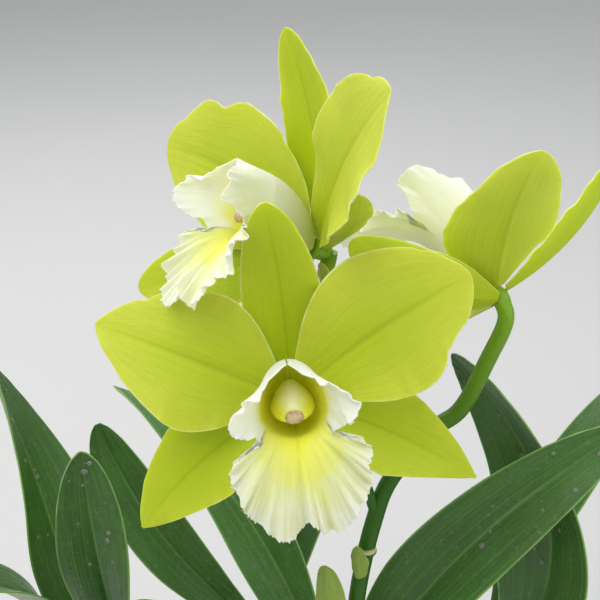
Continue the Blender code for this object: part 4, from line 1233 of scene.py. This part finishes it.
def wrap_grid(sizes, number):
    """A papery sleeve round a bulb's lower part, open at one side, with a torn, flaring top."""
    turns = np.linspace(*WRAP_TURNS, 73)
    share = np.linspace(*WRAP_HEIGHTS, 28)
    rings = bulb_rings(*sizes, WRAP_SIDES, share, WRAP_STAND_OFF)
    middle = rings.mean(axis=1, keepdims=True)
    place = (turns + 0.17 * number) % 1 * WRAP_SIDES
    low = place.astype(int) % WRAP_SIDES
    part = (place - place.astype(int))[:, None]
    skin = rings[:, low] * (1 - part) + rings[:, (low + 1) % WRAP_SIDES] * part
    height = share[:, None] / share[-1]
    flare = 1 + WRAP_FLARE * height**6
    skin = middle + (skin - middle) * joined(flare, flare, 1)
    torn = 0.22 * np.abs(np.sin(11 * turns + number)) + 0.10 * np.abs(np.sin(31 * turns + 2 * number))
    return skin[:1] + (skin - skin[:1]) * (1 - torn * height**2)[..., None]


def inner_radius(height):
    """The pot's inner radius at a height above its floor."""
    low = POT_BASE_RADIUS - POT_WALL
    return low + (POT_MOUTH_RADIUS - low) * (height - POT_FLOOR) / (POT_HEIGHT - POT_FLOOR)


def turned_rings(profile, sides):
    """Rings of a profile of radius and height turned round the Z axis."""
    angle = circle(sides)
    radius, height = np.array(profile).T[..., None]
    return joined(radius * np.cos(angle), radius * np.sin(angle), height)


def arc(centre, radius, start, end, count):
    """Profile points on an arc round a centre of radius and height, from one angle to another."""
    angle = np.radians(np.linspace(start, end, count))
    return [(centre[0] + radius * math.cos(a), centre[1] + radius * math.sin(a)) for a in angle]


def pot_profile():
    """The pot's outline from its foot disc round the outside, over the rolled rim and down the inside."""
    rim_foot = POT_HEIGHT - RIM_HEIGHT
    outside = np.linspace((POT_BASE_RADIUS, EDGE_ROUNDING), (POT_TOP_RADIUS, rim_foot), 24)
    rim_edge = RIM_RADIUS - EDGE_ROUNDING
    return [
        (FOOT_DISC_RADIUS, 0),
        (FOOT_DISC_RADIUS + FOOT_RECESS, FOOT_RECESS),
        (FOOT_RING_RADIUS - FOOT_RECESS, FOOT_RECESS),
        (FOOT_RING_RADIUS, 0),
        (POT_BASE_RADIUS - EDGE_ROUNDING, 0),
        *outside,
        (rim_edge, rim_foot),
        *arc((rim_edge, rim_foot + EDGE_ROUNDING), EDGE_ROUNDING, -90, 0, 5),
        *arc((RIM_RADIUS - RIM_ROUNDING, POT_HEIGHT - RIM_ROUNDING), RIM_ROUNDING, 0, 90, 7),
        (inner_radius(POT_HEIGHT) + EDGE_ROUNDING, POT_HEIGHT),
        (inner_radius(POT_HEIGHT - MOUTH_CHAMFER), POT_HEIGHT - MOUTH_CHAMFER),
        (inner_radius(POT_FLOOR), POT_FLOOR),
    ]


def bed_rings(sides=96):
    """The bark's solid bed: its side wall inside the pot and an uneven top."""
    low = POT_FLOOR + SEAT
    top_radius = inner_radius(BARK_TOP)
    wall = [(inner_radius(low) - SEAT, low), (top_radius - SEAT, BARK_TOP - 0.002)]
    top = [(radius, BARK_TOP - 0.001) for radius in np.linspace(top_radius - 0.002, 0.001, 26)]
    rings = turned_rings(wall + top, sides)
    x, y = rings[2:, :, 0], rings[2:, :, 1]
    rings[2:, :, 2] += 0.0008 * np.sin(260 * x + 1.0) * np.cos(310 * y) + 0.0006 * np.sin(520 * x - 430 * y)
    return rings


def chip_grids(count, dice):
    """Closed rough chips over the bark: superellipsoids, each with its own size, lean, dents and place."""

    def draw(low, high):
        """A random number for each chip."""
        return dice.uniform(low, high, (count, 1, 1))

    def boxy(value):
        """A sine or cosine squared off by each chip's own power."""
        return np.sign(value) * np.abs(value) ** square

    tilt = np.linspace(-math.pi / 2, math.pi / 2, CHIP_ROWS)[None, :, None]
    turn = circle(CHIP_SIDES)[None, None, :]
    square = draw(*CHIP_SQUARENESS)
    length, width, thickness = (draw(*span) / 2 for span in CHIP_SIZES)
    dents = 1 + 0.10 * np.sin(3 * turn + draw(0, 6))
    dents = dents + 0.08 * np.sin(5 * tilt + 2 * turn + draw(0, 6))
    x = length * boxy(np.cos(tilt)) * boxy(np.cos(turn)) * dents
    y = width * boxy(np.cos(tilt)) * boxy(np.sin(turn)) * dents
    z = thickness * boxy(np.sin(tilt)) * (0.9 + 0.1 * dents)
    lean = draw(-CHIP_LEAN, CHIP_LEAN)
    y, z = y * np.cos(lean) - z * np.sin(lean), y * np.sin(lean) + z * np.cos(lean)
    yaw = draw(0, 2 * math.pi)
    x, y = x * np.cos(yaw) - y * np.sin(yaw), x * np.sin(yaw) + y * np.cos(yaw)
    reach = CHIPS_REACH * np.sqrt(draw(0, 1))
    around = draw(0, 2 * math.pi)
    return joined(x + reach * np.cos(around), y + reach * np.sin(around), z + BARK_TOP + draw(*CHIP_HEIGHT))


# Meshes


def build_mesh(name, points, faces, places=None, attributes=None, sharp=60):
    """A smooth-shaded mesh object with its own map, and attributes that are one number or one per point."""
    mesh = bpy.data.meshes.new(name)
    mesh.from_pydata(np.asarray(points).tolist(), [], faces)
    mesh.shade_smooth()
    mesh.set_sharp_from_angle(angle=math.radians(sharp))
    if places is not None:
        layer = mesh.uv_layers.new(name="sheet")
        corner = np.empty(len(mesh.loops), np.int32)
        mesh.loops.foreach_get("vertex_index", corner)
        layer.data.foreach_set("uv", np.asarray(places, np.float32)[corner].ravel())
    for label, values in (attributes or {}).items():
        layer = mesh.attributes.new(label, "FLOAT", "POINT")
        layer.data.foreach_set("value", np.array(np.broadcast_to(values, len(points)), np.float32))
    thing = bpy.data.objects.new(name, mesh)
    bpy.context.scene.collection.objects.link(thing)
    return thing


def place_piece(thing, material, slot, *nodes):
    """Gives a finished piece its material and body, and lets it stand for CAD nodes. The slot is not used."""
    thing.data.materials.append(material)
    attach(thing, "root")
    if nodes:
        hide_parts(*nodes)


def weld(thing, distance):
    """Joins the points of a piece that lie together, such as those at a pole."""
    modifier = thing.modifiers.new("Weld", "WELD")
    modifier.merge_threshold = distance


def shell(name, grid, thickness, thin_edge=0.4, attributes=None):
    """A closed thin solid on a grid of points.

    Each side stands off the grid by half the thickness along its normal, and a
    rim of quads joins them. The thickness falls to a share of itself by the
    fourth power of the distance to the edge, across the sheet or along it.
    """
    rows, columns = grid.shape[:2]
    along, across = np.meshgrid(np.linspace(0, 1, rows), np.linspace(0, 1, columns), indexing="ij")
    near_edge = np.maximum(np.abs(across * 2 - 1), along) ** 4
    half = thickness / 2 * (1 - (1 - thin_edge) * near_edge)
    normal = surface_normals(grid) * half[..., None]
    points = np.concatenate([grid + normal, grid - normal]).reshape(-1, 3)
    count = rows * columns
    index = np.arange(count).reshape(rows, columns)
    front = np.stack([index[:-1, :-1], index[:-1, 1:], index[1:, 1:], index[1:, :-1]], axis=2).reshape(-1, 4)
    rim = np.concatenate([index[0, :-1], index[:-1, -1], index[-1, :0:-1], index[:0:-1, 0]])
    after = np.roll(rim, -1)
    sides = np.stack([rim, rim + count, after + count, after], axis=1)
    faces = np.concatenate([front, front[:, ::-1] + count, sides]).tolist()
    places = np.tile(np.stack([across.ravel(), along.ravel()], axis=1), (2, 1))
    values = {"front": np.repeat([1, 0], count)}
    for label, value in (attributes or {}).items():
        values[label] = np.tile(value.ravel(), 2)
    return build_mesh(name, points, faces, places, values)


def ring_quads(count, sides):
    """Quads between rings whose points follow in order."""
    here = np.arange(count * sides).reshape(count, sides)
    after = np.roll(here, -1, axis=1)
    return np.stack([here[:-1], after[:-1], after[1:], here[1:]], axis=2).reshape(-1, 4)


def ring_faces(count, sides, start):
    """Quads between rings, and a fan at each end to the two points that follow the rings."""
    here = np.arange(sides) + start
    after = np.roll(here, -1)
    last = (count - 1) * sides
    first_end = np.full(sides, start + count * sides)
    fans = [(first_end, after, here), (first_end + 1, here + last, after + last)]
    faces = (ring_quads(count, sides) + start).tolist()
    for fan in fans:
        faces += np.stack(fan, axis=1).tolist()
    return faces


def outward(rings, faces):
    """The faces turned so that they point out of the rings' solid."""
    middle = rings.mean(axis=1)
    heading = middle[-1] - middle[0]
    turn = np.cross(rings[0, 0] - middle[0], rings[0, 1] - middle[0])
    return faces if np.dot(turn, heading) > 0 else [face[::-1] for face in faces]


def rings_solid(name, ring_sets, sharp=60, attributes=None):
    """One object of closed solids, each through its own rings of points."""
    points = []
    faces = []
    places = []
    start = 0
    for rings in ring_sets:
        count, sides = rings.shape[:2]
        points += [rings.reshape(-1, 3), rings[[0, -1]].mean(axis=1)]
        faces += outward(rings, ring_faces(count, sides, start))
        around, along = np.meshgrid(np.arange(sides) / sides, np.linspace(0, 1, count))
        places += [np.stack([around.ravel(), along.ravel()], axis=1), [[0.5, 0], [0.5, 1]]]
        start += count * sides + 2
    return build_mesh(name, np.concatenate(points), faces, np.concatenate(places), attributes, sharp)


def cut(thing, others):
    """Cuts closed shapes from an object with one applied Boolean, and removes the shapes."""
    helpers = bpy.data.collections.new(f"{thing.name}_holes")
    bpy.context.scene.collection.children.link(helpers)
    for other in others:
        bpy.context.scene.collection.objects.unlink(other)
        helpers.objects.link(other)
    cutter = thing.modifiers.new("Holes", "BOOLEAN")
    cutter.operation = "DIFFERENCE"
    cutter.operand_type = "COLLECTION"
    cutter.collection = helpers
    cutter.solver = "MANIFOLD"
    bpy.context.view_layer.update()
    seen = thing.evaluated_get(bpy.context.evaluated_depsgraph_get())
    made = bpy.data.meshes.new_from_object(seen)
    # The Boolean leaves an empty material slot, which would hide the piece's own material.
    made.materials.clear()
    thing.modifiers.remove(cutter)
    thing.data = made
    for other in others:
        bpy.data.objects.remove(other)
    bpy.data.collections.remove(helpers)


# Operators


class OrchidPiece:
    """What the operators share."""

    bl_options = {"REGISTER", "UNDO"}


class ORCHID_OT_pot(OrchidPiece, bpy.types.Operator):
    """Adds the nursery pot with its rolled rim and drain holes"""

    bl_idname = "orchid.pot"
    bl_label = "Pot"

    def execute(self, context):
        pot = rings_solid("nursery_pot", [turned_rings(pot_profile(), POT_SIDES)], POT_SHARP_ANGLE)
        holes = []
        for angle in circle(DRAIN_HOLES):
            place = (DRAIN_RING_RADIUS * math.cos(angle), DRAIN_RING_RADIUS * math.sin(angle))
            ends = [(*place, -0.001), (*place, POT_FLOOR + 0.001)]
            holes.append(rings_solid("hole", [tube_rings(ends, (DRAIN_RADIUS, DRAIN_RADIUS), 32)]))
        cut(pot, holes)
        pot.data.set_sharp_from_angle(angle=math.radians(POT_SHARP_ANGLE))
        place_piece(pot, pot_material(context.scene.orchid_pot), "pot", "pot")
        return {"FINISHED"}


class ORCHID_OT_bark(OrchidPiece, bpy.types.Operator):
    """Adds the bark bed and the loose chips on it"""

    bl_idname = "orchid.bark"
    bl_label = "Bark"

    def execute(self, context):
        settings = context.scene.orchid_pot
        material = bark_material(settings)
        bed = rings_solid("bark_bed", [bed_rings()], attributes={"tone": 0.05})
        place_piece(bed, material, "bark", "bark")
        place_piece(self.loose_chips(settings.chips), material, "bark", "bark")
        return {"FINISHED"}

    def loose_chips(self, count):
        """All of the loose chips as one mesh, each with its own tone and its own place on the grain."""
        dice = np.random.default_rng(BARK_SEED)
        points = chip_grids(count, dice).reshape(-1, 3)
        corners = CHIP_ROWS * CHIP_SIDES
        faces = ring_quads(CHIP_ROWS, CHIP_SIDES) + (np.arange(count) * corners)[:, None, None]
        around, along = np.meshgrid(np.arange(CHIP_SIDES) / CHIP_SIDES, np.linspace(0, 1, CHIP_ROWS))
        places = np.tile(np.stack([around.ravel(), along.ravel()], axis=1), (count, 1))
        places = places + np.repeat(dice.uniform(0, 9, count), corners)[:, None]
        tones = np.repeat(dice.uniform(0.15, 1.0, count), corners)
        chips = build_mesh("bark_chips", points, faces.reshape(-1, 4).tolist(), places, {"tone": tones}, 40)
        weld(chips, 0.00002)
        return chips


class ORCHID_OT_rhizome(OrchidPiece, bpy.types.Operator):
    """Adds the creeping rhizome, the pads under the bulbs and the roots"""

    bl_idname = "orchid.rhizome"
    bl_label = "Rhizome and roots"

    def execute(self, context):
        settings = context.scene.orchid_plant
        pads = []
        for foot, _, _ in PSEUDOBULBS.values():
            ends = [(*foot, RHIZOME_HEIGHT - 0.002), (*foot, PAD_TOP)]
            pads.append(tube_rings(ends, PAD_RADII, 36, per_span=6))
        rhizome = rings_solid("rhizome_stem", [self.creeping_stem(), *pads])
        wood = root_material("rhizome_wood", settings.rhizome, WOOD_STAIN)
        place_piece(rhizome, wood, "rhizome", "rhizome")
        roots = []
        for x, y, heading in ROOTS:
            across, back = math.cos(math.radians(heading)), math.sin(math.radians(heading))
            run = [(x + far * across, y + far * back, RHIZOME_HEIGHT + up) for far, up in ROOT_REACH]
            roots.append(tube_rings(run, (ROOT_RADIUS, ROOT_RADIUS, ROOT_RADIUS * 0.85), 20, per_span=12))
        skin = rings_solid("roots", roots)
        velamen = root_material("root_velamen", settings.root, ROOT_STAIN)
        place_piece(skin, velamen, "rhizome", "rhizome")
        return {"FINISHED"}

    def creeping_stem(self):
        """Rings of the stem from foot to foot of the bulbs, with a raised scar at even steps."""
        feet = [PSEUDOBULBS[f"pseudobulb_{number}"][0] for number in (3, 4, 5, 2, 1)]
        first, last = np.array([feet[0], feet[-1]]) + RHIZOME_ENDS
        way = [(x, y, RHIZOME_HEIGHT) for x, y in [first, *feet, last]]
        body = tube_rings(way, (RHIZOME_RADIUS, RHIZOME_RADIUS), 36, per_span=30)
        scars = np.sin(np.linspace(0, 2 * RHIZOME_SCARS * math.pi, len(body)))[:, None, None] ** 8
        middle = body.mean(axis=1, keepdims=True)
        return middle + (body - middle) * (1 + SCAR_SWELL * scars)


class ORCHID_OT_pseudobulbs(OrchidPiece, bpy.types.Operator):
    """Adds the five ridged pseudobulbs and the papery sheaths round their lower parts"""

    bl_idname = "orchid.pseudobulbs"
    bl_label = "Pseudobulbs"

    def execute(self, context):
        settings = context.scene.orchid_plant
        skin = bulb_material(settings)
        paper = paper_material(settings)
        for number, (name, sizes) in enumerate(PSEUDOBULBS.items()):
            bulb = rings_solid(f"{name}_skin", [bulb_rings(*sizes, 72, np.linspace(0, 1, 64))])
            place_piece(bulb, skin, "pseudobulb", name)
            sleeve = shell(f"{name}_wrap", wrap_grid(sizes, number), PAPER_THICKNESS, 1.0)
            place_piece(sleeve, paper, "sheath")
        return {"FINISHED"}


class ORCHID_OT_leaves(OrchidPiece, bpy.types.Operator):
    """Adds the ten leathery leaves"""

    bl_idname = "orchid.leaves"
    bl_label = "Leaves"

    def execute(self, context):
        material = leaf_material(context.scene.orchid_plant)
        for number, (name, blade) in enumerate(LEAVES.items()):
            sheet = shell(f"{name}_blade", standing_grid(blade, LEAF_GRID, number), LEAF_THICKNESS, 0.35)
            place_piece(sheet, material, "leaf", name)
        return {"FINISHED"}


class ORCHID_OT_bracts(OrchidPiece, bpy.types.Operator):
    """Adds the flower sheath and the two bracts"""

    bl_idname = "orchid.bracts"
    bl_label = "Sheath and bracts"

    def execute(self, context):
        green = sheath_material("speckled_sheath", context.scene.orchid_plant.sheath, 0.65)
        pale = sheath_material("pale_bract", context.scene.orchid_flower.petal_pale, 0.1)
        for name, blade in BRACTS.items():
            bract = shell(f"{name}_blade", standing_grid(blade, BRACT_GRID, 1), BRACT_THICKNESS, 0.35)
            place_piece(bract, pale if name == "flower_bract" else green, "sheath", name)
        return {"FINISHED"}


class ORCHID_OT_stem(OrchidPiece, bpy.types.Operator):
    """Adds the flower stem, its branches, ovaries and node ring"""

    bl_idname = "orchid.stem"
    bl_label = "Flower stem"

    def execute(self, context):
        radii = (STEM_RADIUS + 0.0004, STEM_RADIUS, STEM_RADIUS, STEM_RADIUS - 0.0002)
        sets = [
            tube_rings([*STEM_WAY, BLOOMS["right"].place], radii, 40, per_span=12),
            *self.front_receptacle(),
            self.knob(BLOOMS["upper"]),
            self.branch([*UPPER_BRANCH, self.behind(BLOOMS["upper"], -0.004)]),
            self.knob(BLOOMS["right"]),
            self.ring(),
        ]
        stem = rings_solid("flower_stem_skin", sets)
        place_piece(stem, stem_material(context.scene.orchid_plant), "stem", "flower_stem")
        return {"FINISHED"}

    def behind(self, bloom, depth):
        """A point on the bloom's axis, at a depth in front of its middle or, below 0, behind it."""
        return np.array(bloom.place) + axes_of(bloom.face, bloom.top)[:, 2] * depth

    def branch(self, way):
        """A slim branch along a way, thicker in the ovary at its end."""
        return tube_rings(way, (PEDICEL_RADIUS, PEDICEL_RADIUS, OVARY_RADIUS), 32, per_span=14)

    def front_receptacle(self):
        """The front bloom's receptacle, and its branch with the ovary behind the bloom."""
        bloom = BLOOMS["front"]
        depths = (RECEPTACLE_BACK, RECEPTACLE_BACK / 2, 0, RECEPTACLE_FRONT)
        middles = [self.behind(bloom, depth) for depth in depths]
        radii = (OVARY_RADIUS, RECEPTACLE_RADIUS, RECEPTACLE_RADIUS, RECEPTACLE_RADIUS)
        ovary = self.behind(bloom, RECEPTACLE_BACK - OVARY_LENGTH)
        return [tube_rings(middles, radii, 36, 6), self.branch([*FRONT_BRANCH, ovary, middles[1]])]

    def knob(self, bloom):
        """A short receptacle with a rounded back, for a bloom that is seen from the side."""
        depths = (KNOB_BACK, KNOB_BACK * 0.8, KNOB_BACK * 0.4, 0, RECEPTACLE_FRONT)
        radii = [RECEPTACLE_RADIUS * share for share in (0.3, 0.72, 1, 1, 1)]
        return tube_rings([self.behind(bloom, depth) for depth in depths], radii, 36, per_span=4)

    def ring(self):
        """The raised, rounded ring round the stem where its bract sits."""
        half = np.array([0, 0, RING_HEIGHT / 2])
        place = np.array(RING_PLACE)
        radii = [STEM_RADIUS + RING_STAND_OUT - less for less in (0.0005, 0.0001, 0, 0.0001, 0.0005)]
        return tube_rings([place - half, place + half], radii, 40, per_span=8)


class ORCHID_OT_tepals(OrchidPiece, bpy.types.Operator):
    """Adds the three sepals and two petals of each bloom"""

    bl_idname = "orchid.tepals"
    bl_label = "Sepals and petals"

    def execute(self, context):
        settings = context.scene.orchid_flower
        outer = [0.6 * a + 0.4 * b for a, b in zip(settings.sepal, settings.petal_pale)]
        broad = tepal_material("petal_skin", settings.petal, settings.petal_pale, settings.rim)
        narrow = tepal_material("sepal_skin", settings.sepal, outer, settings.rim)
        kinds = (
            (("dorsal_sepal", "left_lateral_sepal", "right_lateral_sepal"), 0, SEPAL_GRID, 0, narrow),
            (("left_petal", "right_petal"), PETAL_RISE, PETAL_GRID, 2, broad),
        )
        for turn, (name, bloom) in enumerate(BLOOMS.items()):
            for parts, rise, cells, phase, material in kinds:
                for part in parts:
                    grid = tepal_grid(bloom, getattr(bloom, part), rise, cells, turn + phase)
                    sheet = shell(f"{name}_{part}_skin", grid, TEPAL_THICKNESS)
                    place_piece(sheet, material, "tepal", f"{name}_{part}")
        return {"FINISHED"}


class ORCHID_OT_lips(OrchidPiece, bpy.types.Operator):
    """Adds each bloom's frilled and fringed lip"""

    bl_idname = "orchid.lips"
    bl_label = "Lips"

    def execute(self, context):
        material = lip_material(context.scene.orchid_flower)
        for name, bloom in BLOOMS.items():
            grid = in_bloom(bloom, lip_grid(bloom))[:, ::-1]
            rows, columns = grid.shape[:2]
            index = np.abs(np.arange(columns) - columns // 2)
            middle = np.clip((LIP_MIDDLE_CELLS / 2 - index) / 6 + 0.5, 0, 1)
            lobes = {"middle_lobe": np.tile(middle, (rows, 1))}
            skin = shell(f"{name}_lip_skin", grid, LIP_THICKNESS, 0.5, lobes)
            place_piece(skin, material, "lip", f"{name}_lip")
        return {"FINISHED"}


class ORCHID_OT_columns(OrchidPiece, bpy.types.Operator):
    """Adds each bloom's waxy column and its anther cap"""

    bl_idname = "orchid.columns"
    bl_label = "Columns"

    def execute(self, context):
        wax = column_material(context.scene.orchid_flower)
        grain = anther_material(context.scene.orchid_flower)
        for name, bloom in BLOOMS.items():
            column = rings_solid(f"{name}_column_skin", [in_bloom(bloom, column_rings(64, 48))])
            place_piece(column, wax, "column", f"{name}_column")
            cap = rings_solid(f"{name}_anther_cap_skin", [in_bloom(bloom, cap_rings(48, 16))])
            place_piece(cap, grain, "anther", f"{name}_anther_cap")
        return {"FINISHED"}


class ORCHID_OT_drops(OrchidPiece, bpy.types.Operator):
    """Adds water drops to some of the leaves and to one petal"""

    bl_idname = "orchid.drops"
    bl_label = "Water drops"

    def execute(self, context):
        settings = context.scene.orchid_drops
        if not settings.count:
            return {"FINISHED"}
        water = water_material()
        order = list(LEAVES)
        for seed, name in enumerate(WET_LEAVES):
            grid = standing_grid(LEAVES[name], LEAF_GRID, order.index(name))
            drops = self.drops(f"{name}_drops", grid, LEAF_THICKNESS, 1, settings, seed)
            place_piece(drops, water, "leaf")
        bloom = BLOOMS["right"]
        grid = tepal_grid(bloom, bloom.left_petal, PETAL_RISE, PETAL_GRID, 4)
        drops = self.drops("right_petal_drops", grid, TEPAL_THICKNESS, -1, settings, PETAL_DROPS_SEED)
        place_piece(drops, water, "tepal")
        return {"FINISHED"}

    def drops(self, name, grid, thickness, side, settings, seed):
        """Low domes at random places of a sheet, flattened along its normal and sunk a little into it."""
        dice = np.random.default_rng(seed)
        rows, columns = grid.shape[:2]
        count = settings.count
        row = dice.integers(rows // 4, rows - 8, count)
        column = dice.integers(columns // 6, columns - columns // 6, count)
        normal = surface_normals(grid)[row, column] * side
        aside = np.cross(normal, np.array([0.3, 0.2, 0.93]))
        aside /= np.linalg.norm(aside, axis=1, keepdims=True)
        above = np.cross(normal, aside)
        radius = settings.radius * dice.uniform(0.35, 1.0, count) ** 1.5
        place = grid[row, column] + normal * (thickness / 2 - DROP_SINK)
        tilt = np.linspace(0, math.pi / 2, 5)[:, None, None]
        turn = circle(12)[:, None]
        aside, above, normal, place = (part[:, None, None] for part in (aside, above, normal, place))
        flat = np.cos(tilt) * (np.cos(turn) * aside + np.sin(turn) * above)
        domes = place + radius[:, None, None, None] * (flat + DROP_HEIGHT * np.sin(tilt) * normal)
        drops = rings_solid(name, list(domes), sharp=80)
        weld(drops, 0.000005)
        return drops


class ORCHID_OT_stage(OrchidPiece, bpy.types.Operator):
    """Adds the pale floor, the soft lights and the camera"""

    bl_idname = "orchid.stage"
    bl_label = "Floor, light and camera"

    def execute(self, context):
        settings = context.scene.orchid_stage
        self.add_floor(settings)
        for name, (place, size) in LIGHTS.items():
            self.add_light(name, place, size, getattr(settings, name))
        self.add_sky(context, settings.sky)
        self.add_camera(context)
        context.scene.view_settings.view_transform = "Standard"
        return {"FINISHED"}

    def add_floor(self, settings):
        """A large plane that the pot stands on."""
        half = FLOOR_HALF
        points = [(-half, -half, 0), (half, -half, 0), (half, half, 0), (-half, half, 0)]
        floor = build_mesh("floor", points, [(0, 1, 2, 3)])
        floor.data.materials.append(floor_material(settings))

    def add_light(self, name, place, size, power):
        """A square soft light that looks at the middle of the blooms."""
        lamp = bpy.data.lights.new(name, "AREA")
        lamp.size = size
        lamp.energy = power
        thing = bpy.data.objects.new(name, lamp)
        thing.location = place
        aim = np.array(CAMERA_AIM) - np.array(place)
        yaw = math.atan2(aim[1], aim[0]) - math.pi / 2
        pitch = math.atan2(aim[2], math.hypot(aim[0], aim[1])) + math.pi / 2
        thing.rotation_euler = (pitch, 0, yaw)
        bpy.context.scene.collection.objects.link(thing)

    def add_sky(self, context, strength):
        """Even, slightly blue light from all round."""
        world = bpy.data.worlds.new("sky")
        world.use_nodes = True
        sky = world.node_tree.nodes["Background"]
        sky.inputs["Color"].default_value = (*SKY_BLUE, 1)
        sky.inputs["Strength"].default_value = strength
        context.scene.world = world

    def add_camera(self, context):
        """The camera, as far back along its tilted view as the photograph's was."""
        tilt = math.radians(CAMERA_TILT)
        back = np.array([0, -math.cos(tilt), math.sin(tilt)])
        lens = bpy.data.cameras.new("camera")
        lens.lens = CAMERA_LENS
        lens.sensor_width = CAMERA_SENSOR
        lens.clip_start = 0.01
        lens.clip_end = 50
        camera = bpy.data.objects.new("camera", lens)
        camera.location = np.array(CAMERA_AIM) + CAMERA_DISTANCE * back
        camera.rotation_euler = (math.pi / 2 - tilt, 0, 0)
        context.scene.collection.objects.link(camera)
        context.scene.camera = camera


class ORCHID_PT_sidebar(bpy.types.Panel):
    """Lists the pieces and their settings"""

    bl_label = "Orchid"
    bl_idname = "ORCHID_PT_sidebar"
    bl_space_type = "VIEW_3D"
    bl_region_type = "UI"
    bl_category = "Orchid"

    def draw(self, context):
        for group in SETTINGS:
            box = self.layout.box()
            settings = getattr(context.scene, group)
            for name in settings.__annotations__:
                box.prop(settings, name)
        for operator in OPERATORS:
            self.layout.operator(operator.bl_idname)


SETTINGS = {
    "orchid_flower": OrchidFlowerSettings,
    "orchid_plant": OrchidPlantSettings,
    "orchid_pot": OrchidPotSettings,
    "orchid_drops": OrchidDropSettings,
    "orchid_stage": OrchidStageSettings,
}
OPERATORS = (
    ORCHID_OT_pot,
    ORCHID_OT_bark,
    ORCHID_OT_rhizome,
    ORCHID_OT_pseudobulbs,
    ORCHID_OT_leaves,
    ORCHID_OT_bracts,
    ORCHID_OT_stem,
    ORCHID_OT_tepals,
    ORCHID_OT_lips,
    ORCHID_OT_columns,
    ORCHID_OT_drops,
    ORCHID_OT_stage,
)


def register():
    """Registers the settings, operators and panel."""
    for name, group in SETTINGS.items():
        bpy.utils.register_class(group)
        setattr(bpy.types.Scene, name, PointerProperty(type=group))
    for operator in OPERATORS:
        bpy.utils.register_class(operator)
    bpy.utils.register_class(ORCHID_PT_sidebar)


def unregister():
    """Removes what register added."""
    bpy.utils.unregister_class(ORCHID_PT_sidebar)
    for operator in reversed(OPERATORS):
        bpy.utils.unregister_class(operator)
    for name, group in SETTINGS.items():
        delattr(bpy.types.Scene, name)
        bpy.utils.unregister_class(group)


def main():
    """Makes every piece in order."""
    register()
    for operator in OPERATORS:
        group, name = operator.bl_idname.split(".")
        getattr(getattr(bpy.ops, group), name)()


if __name__ == "__main__":
    main()
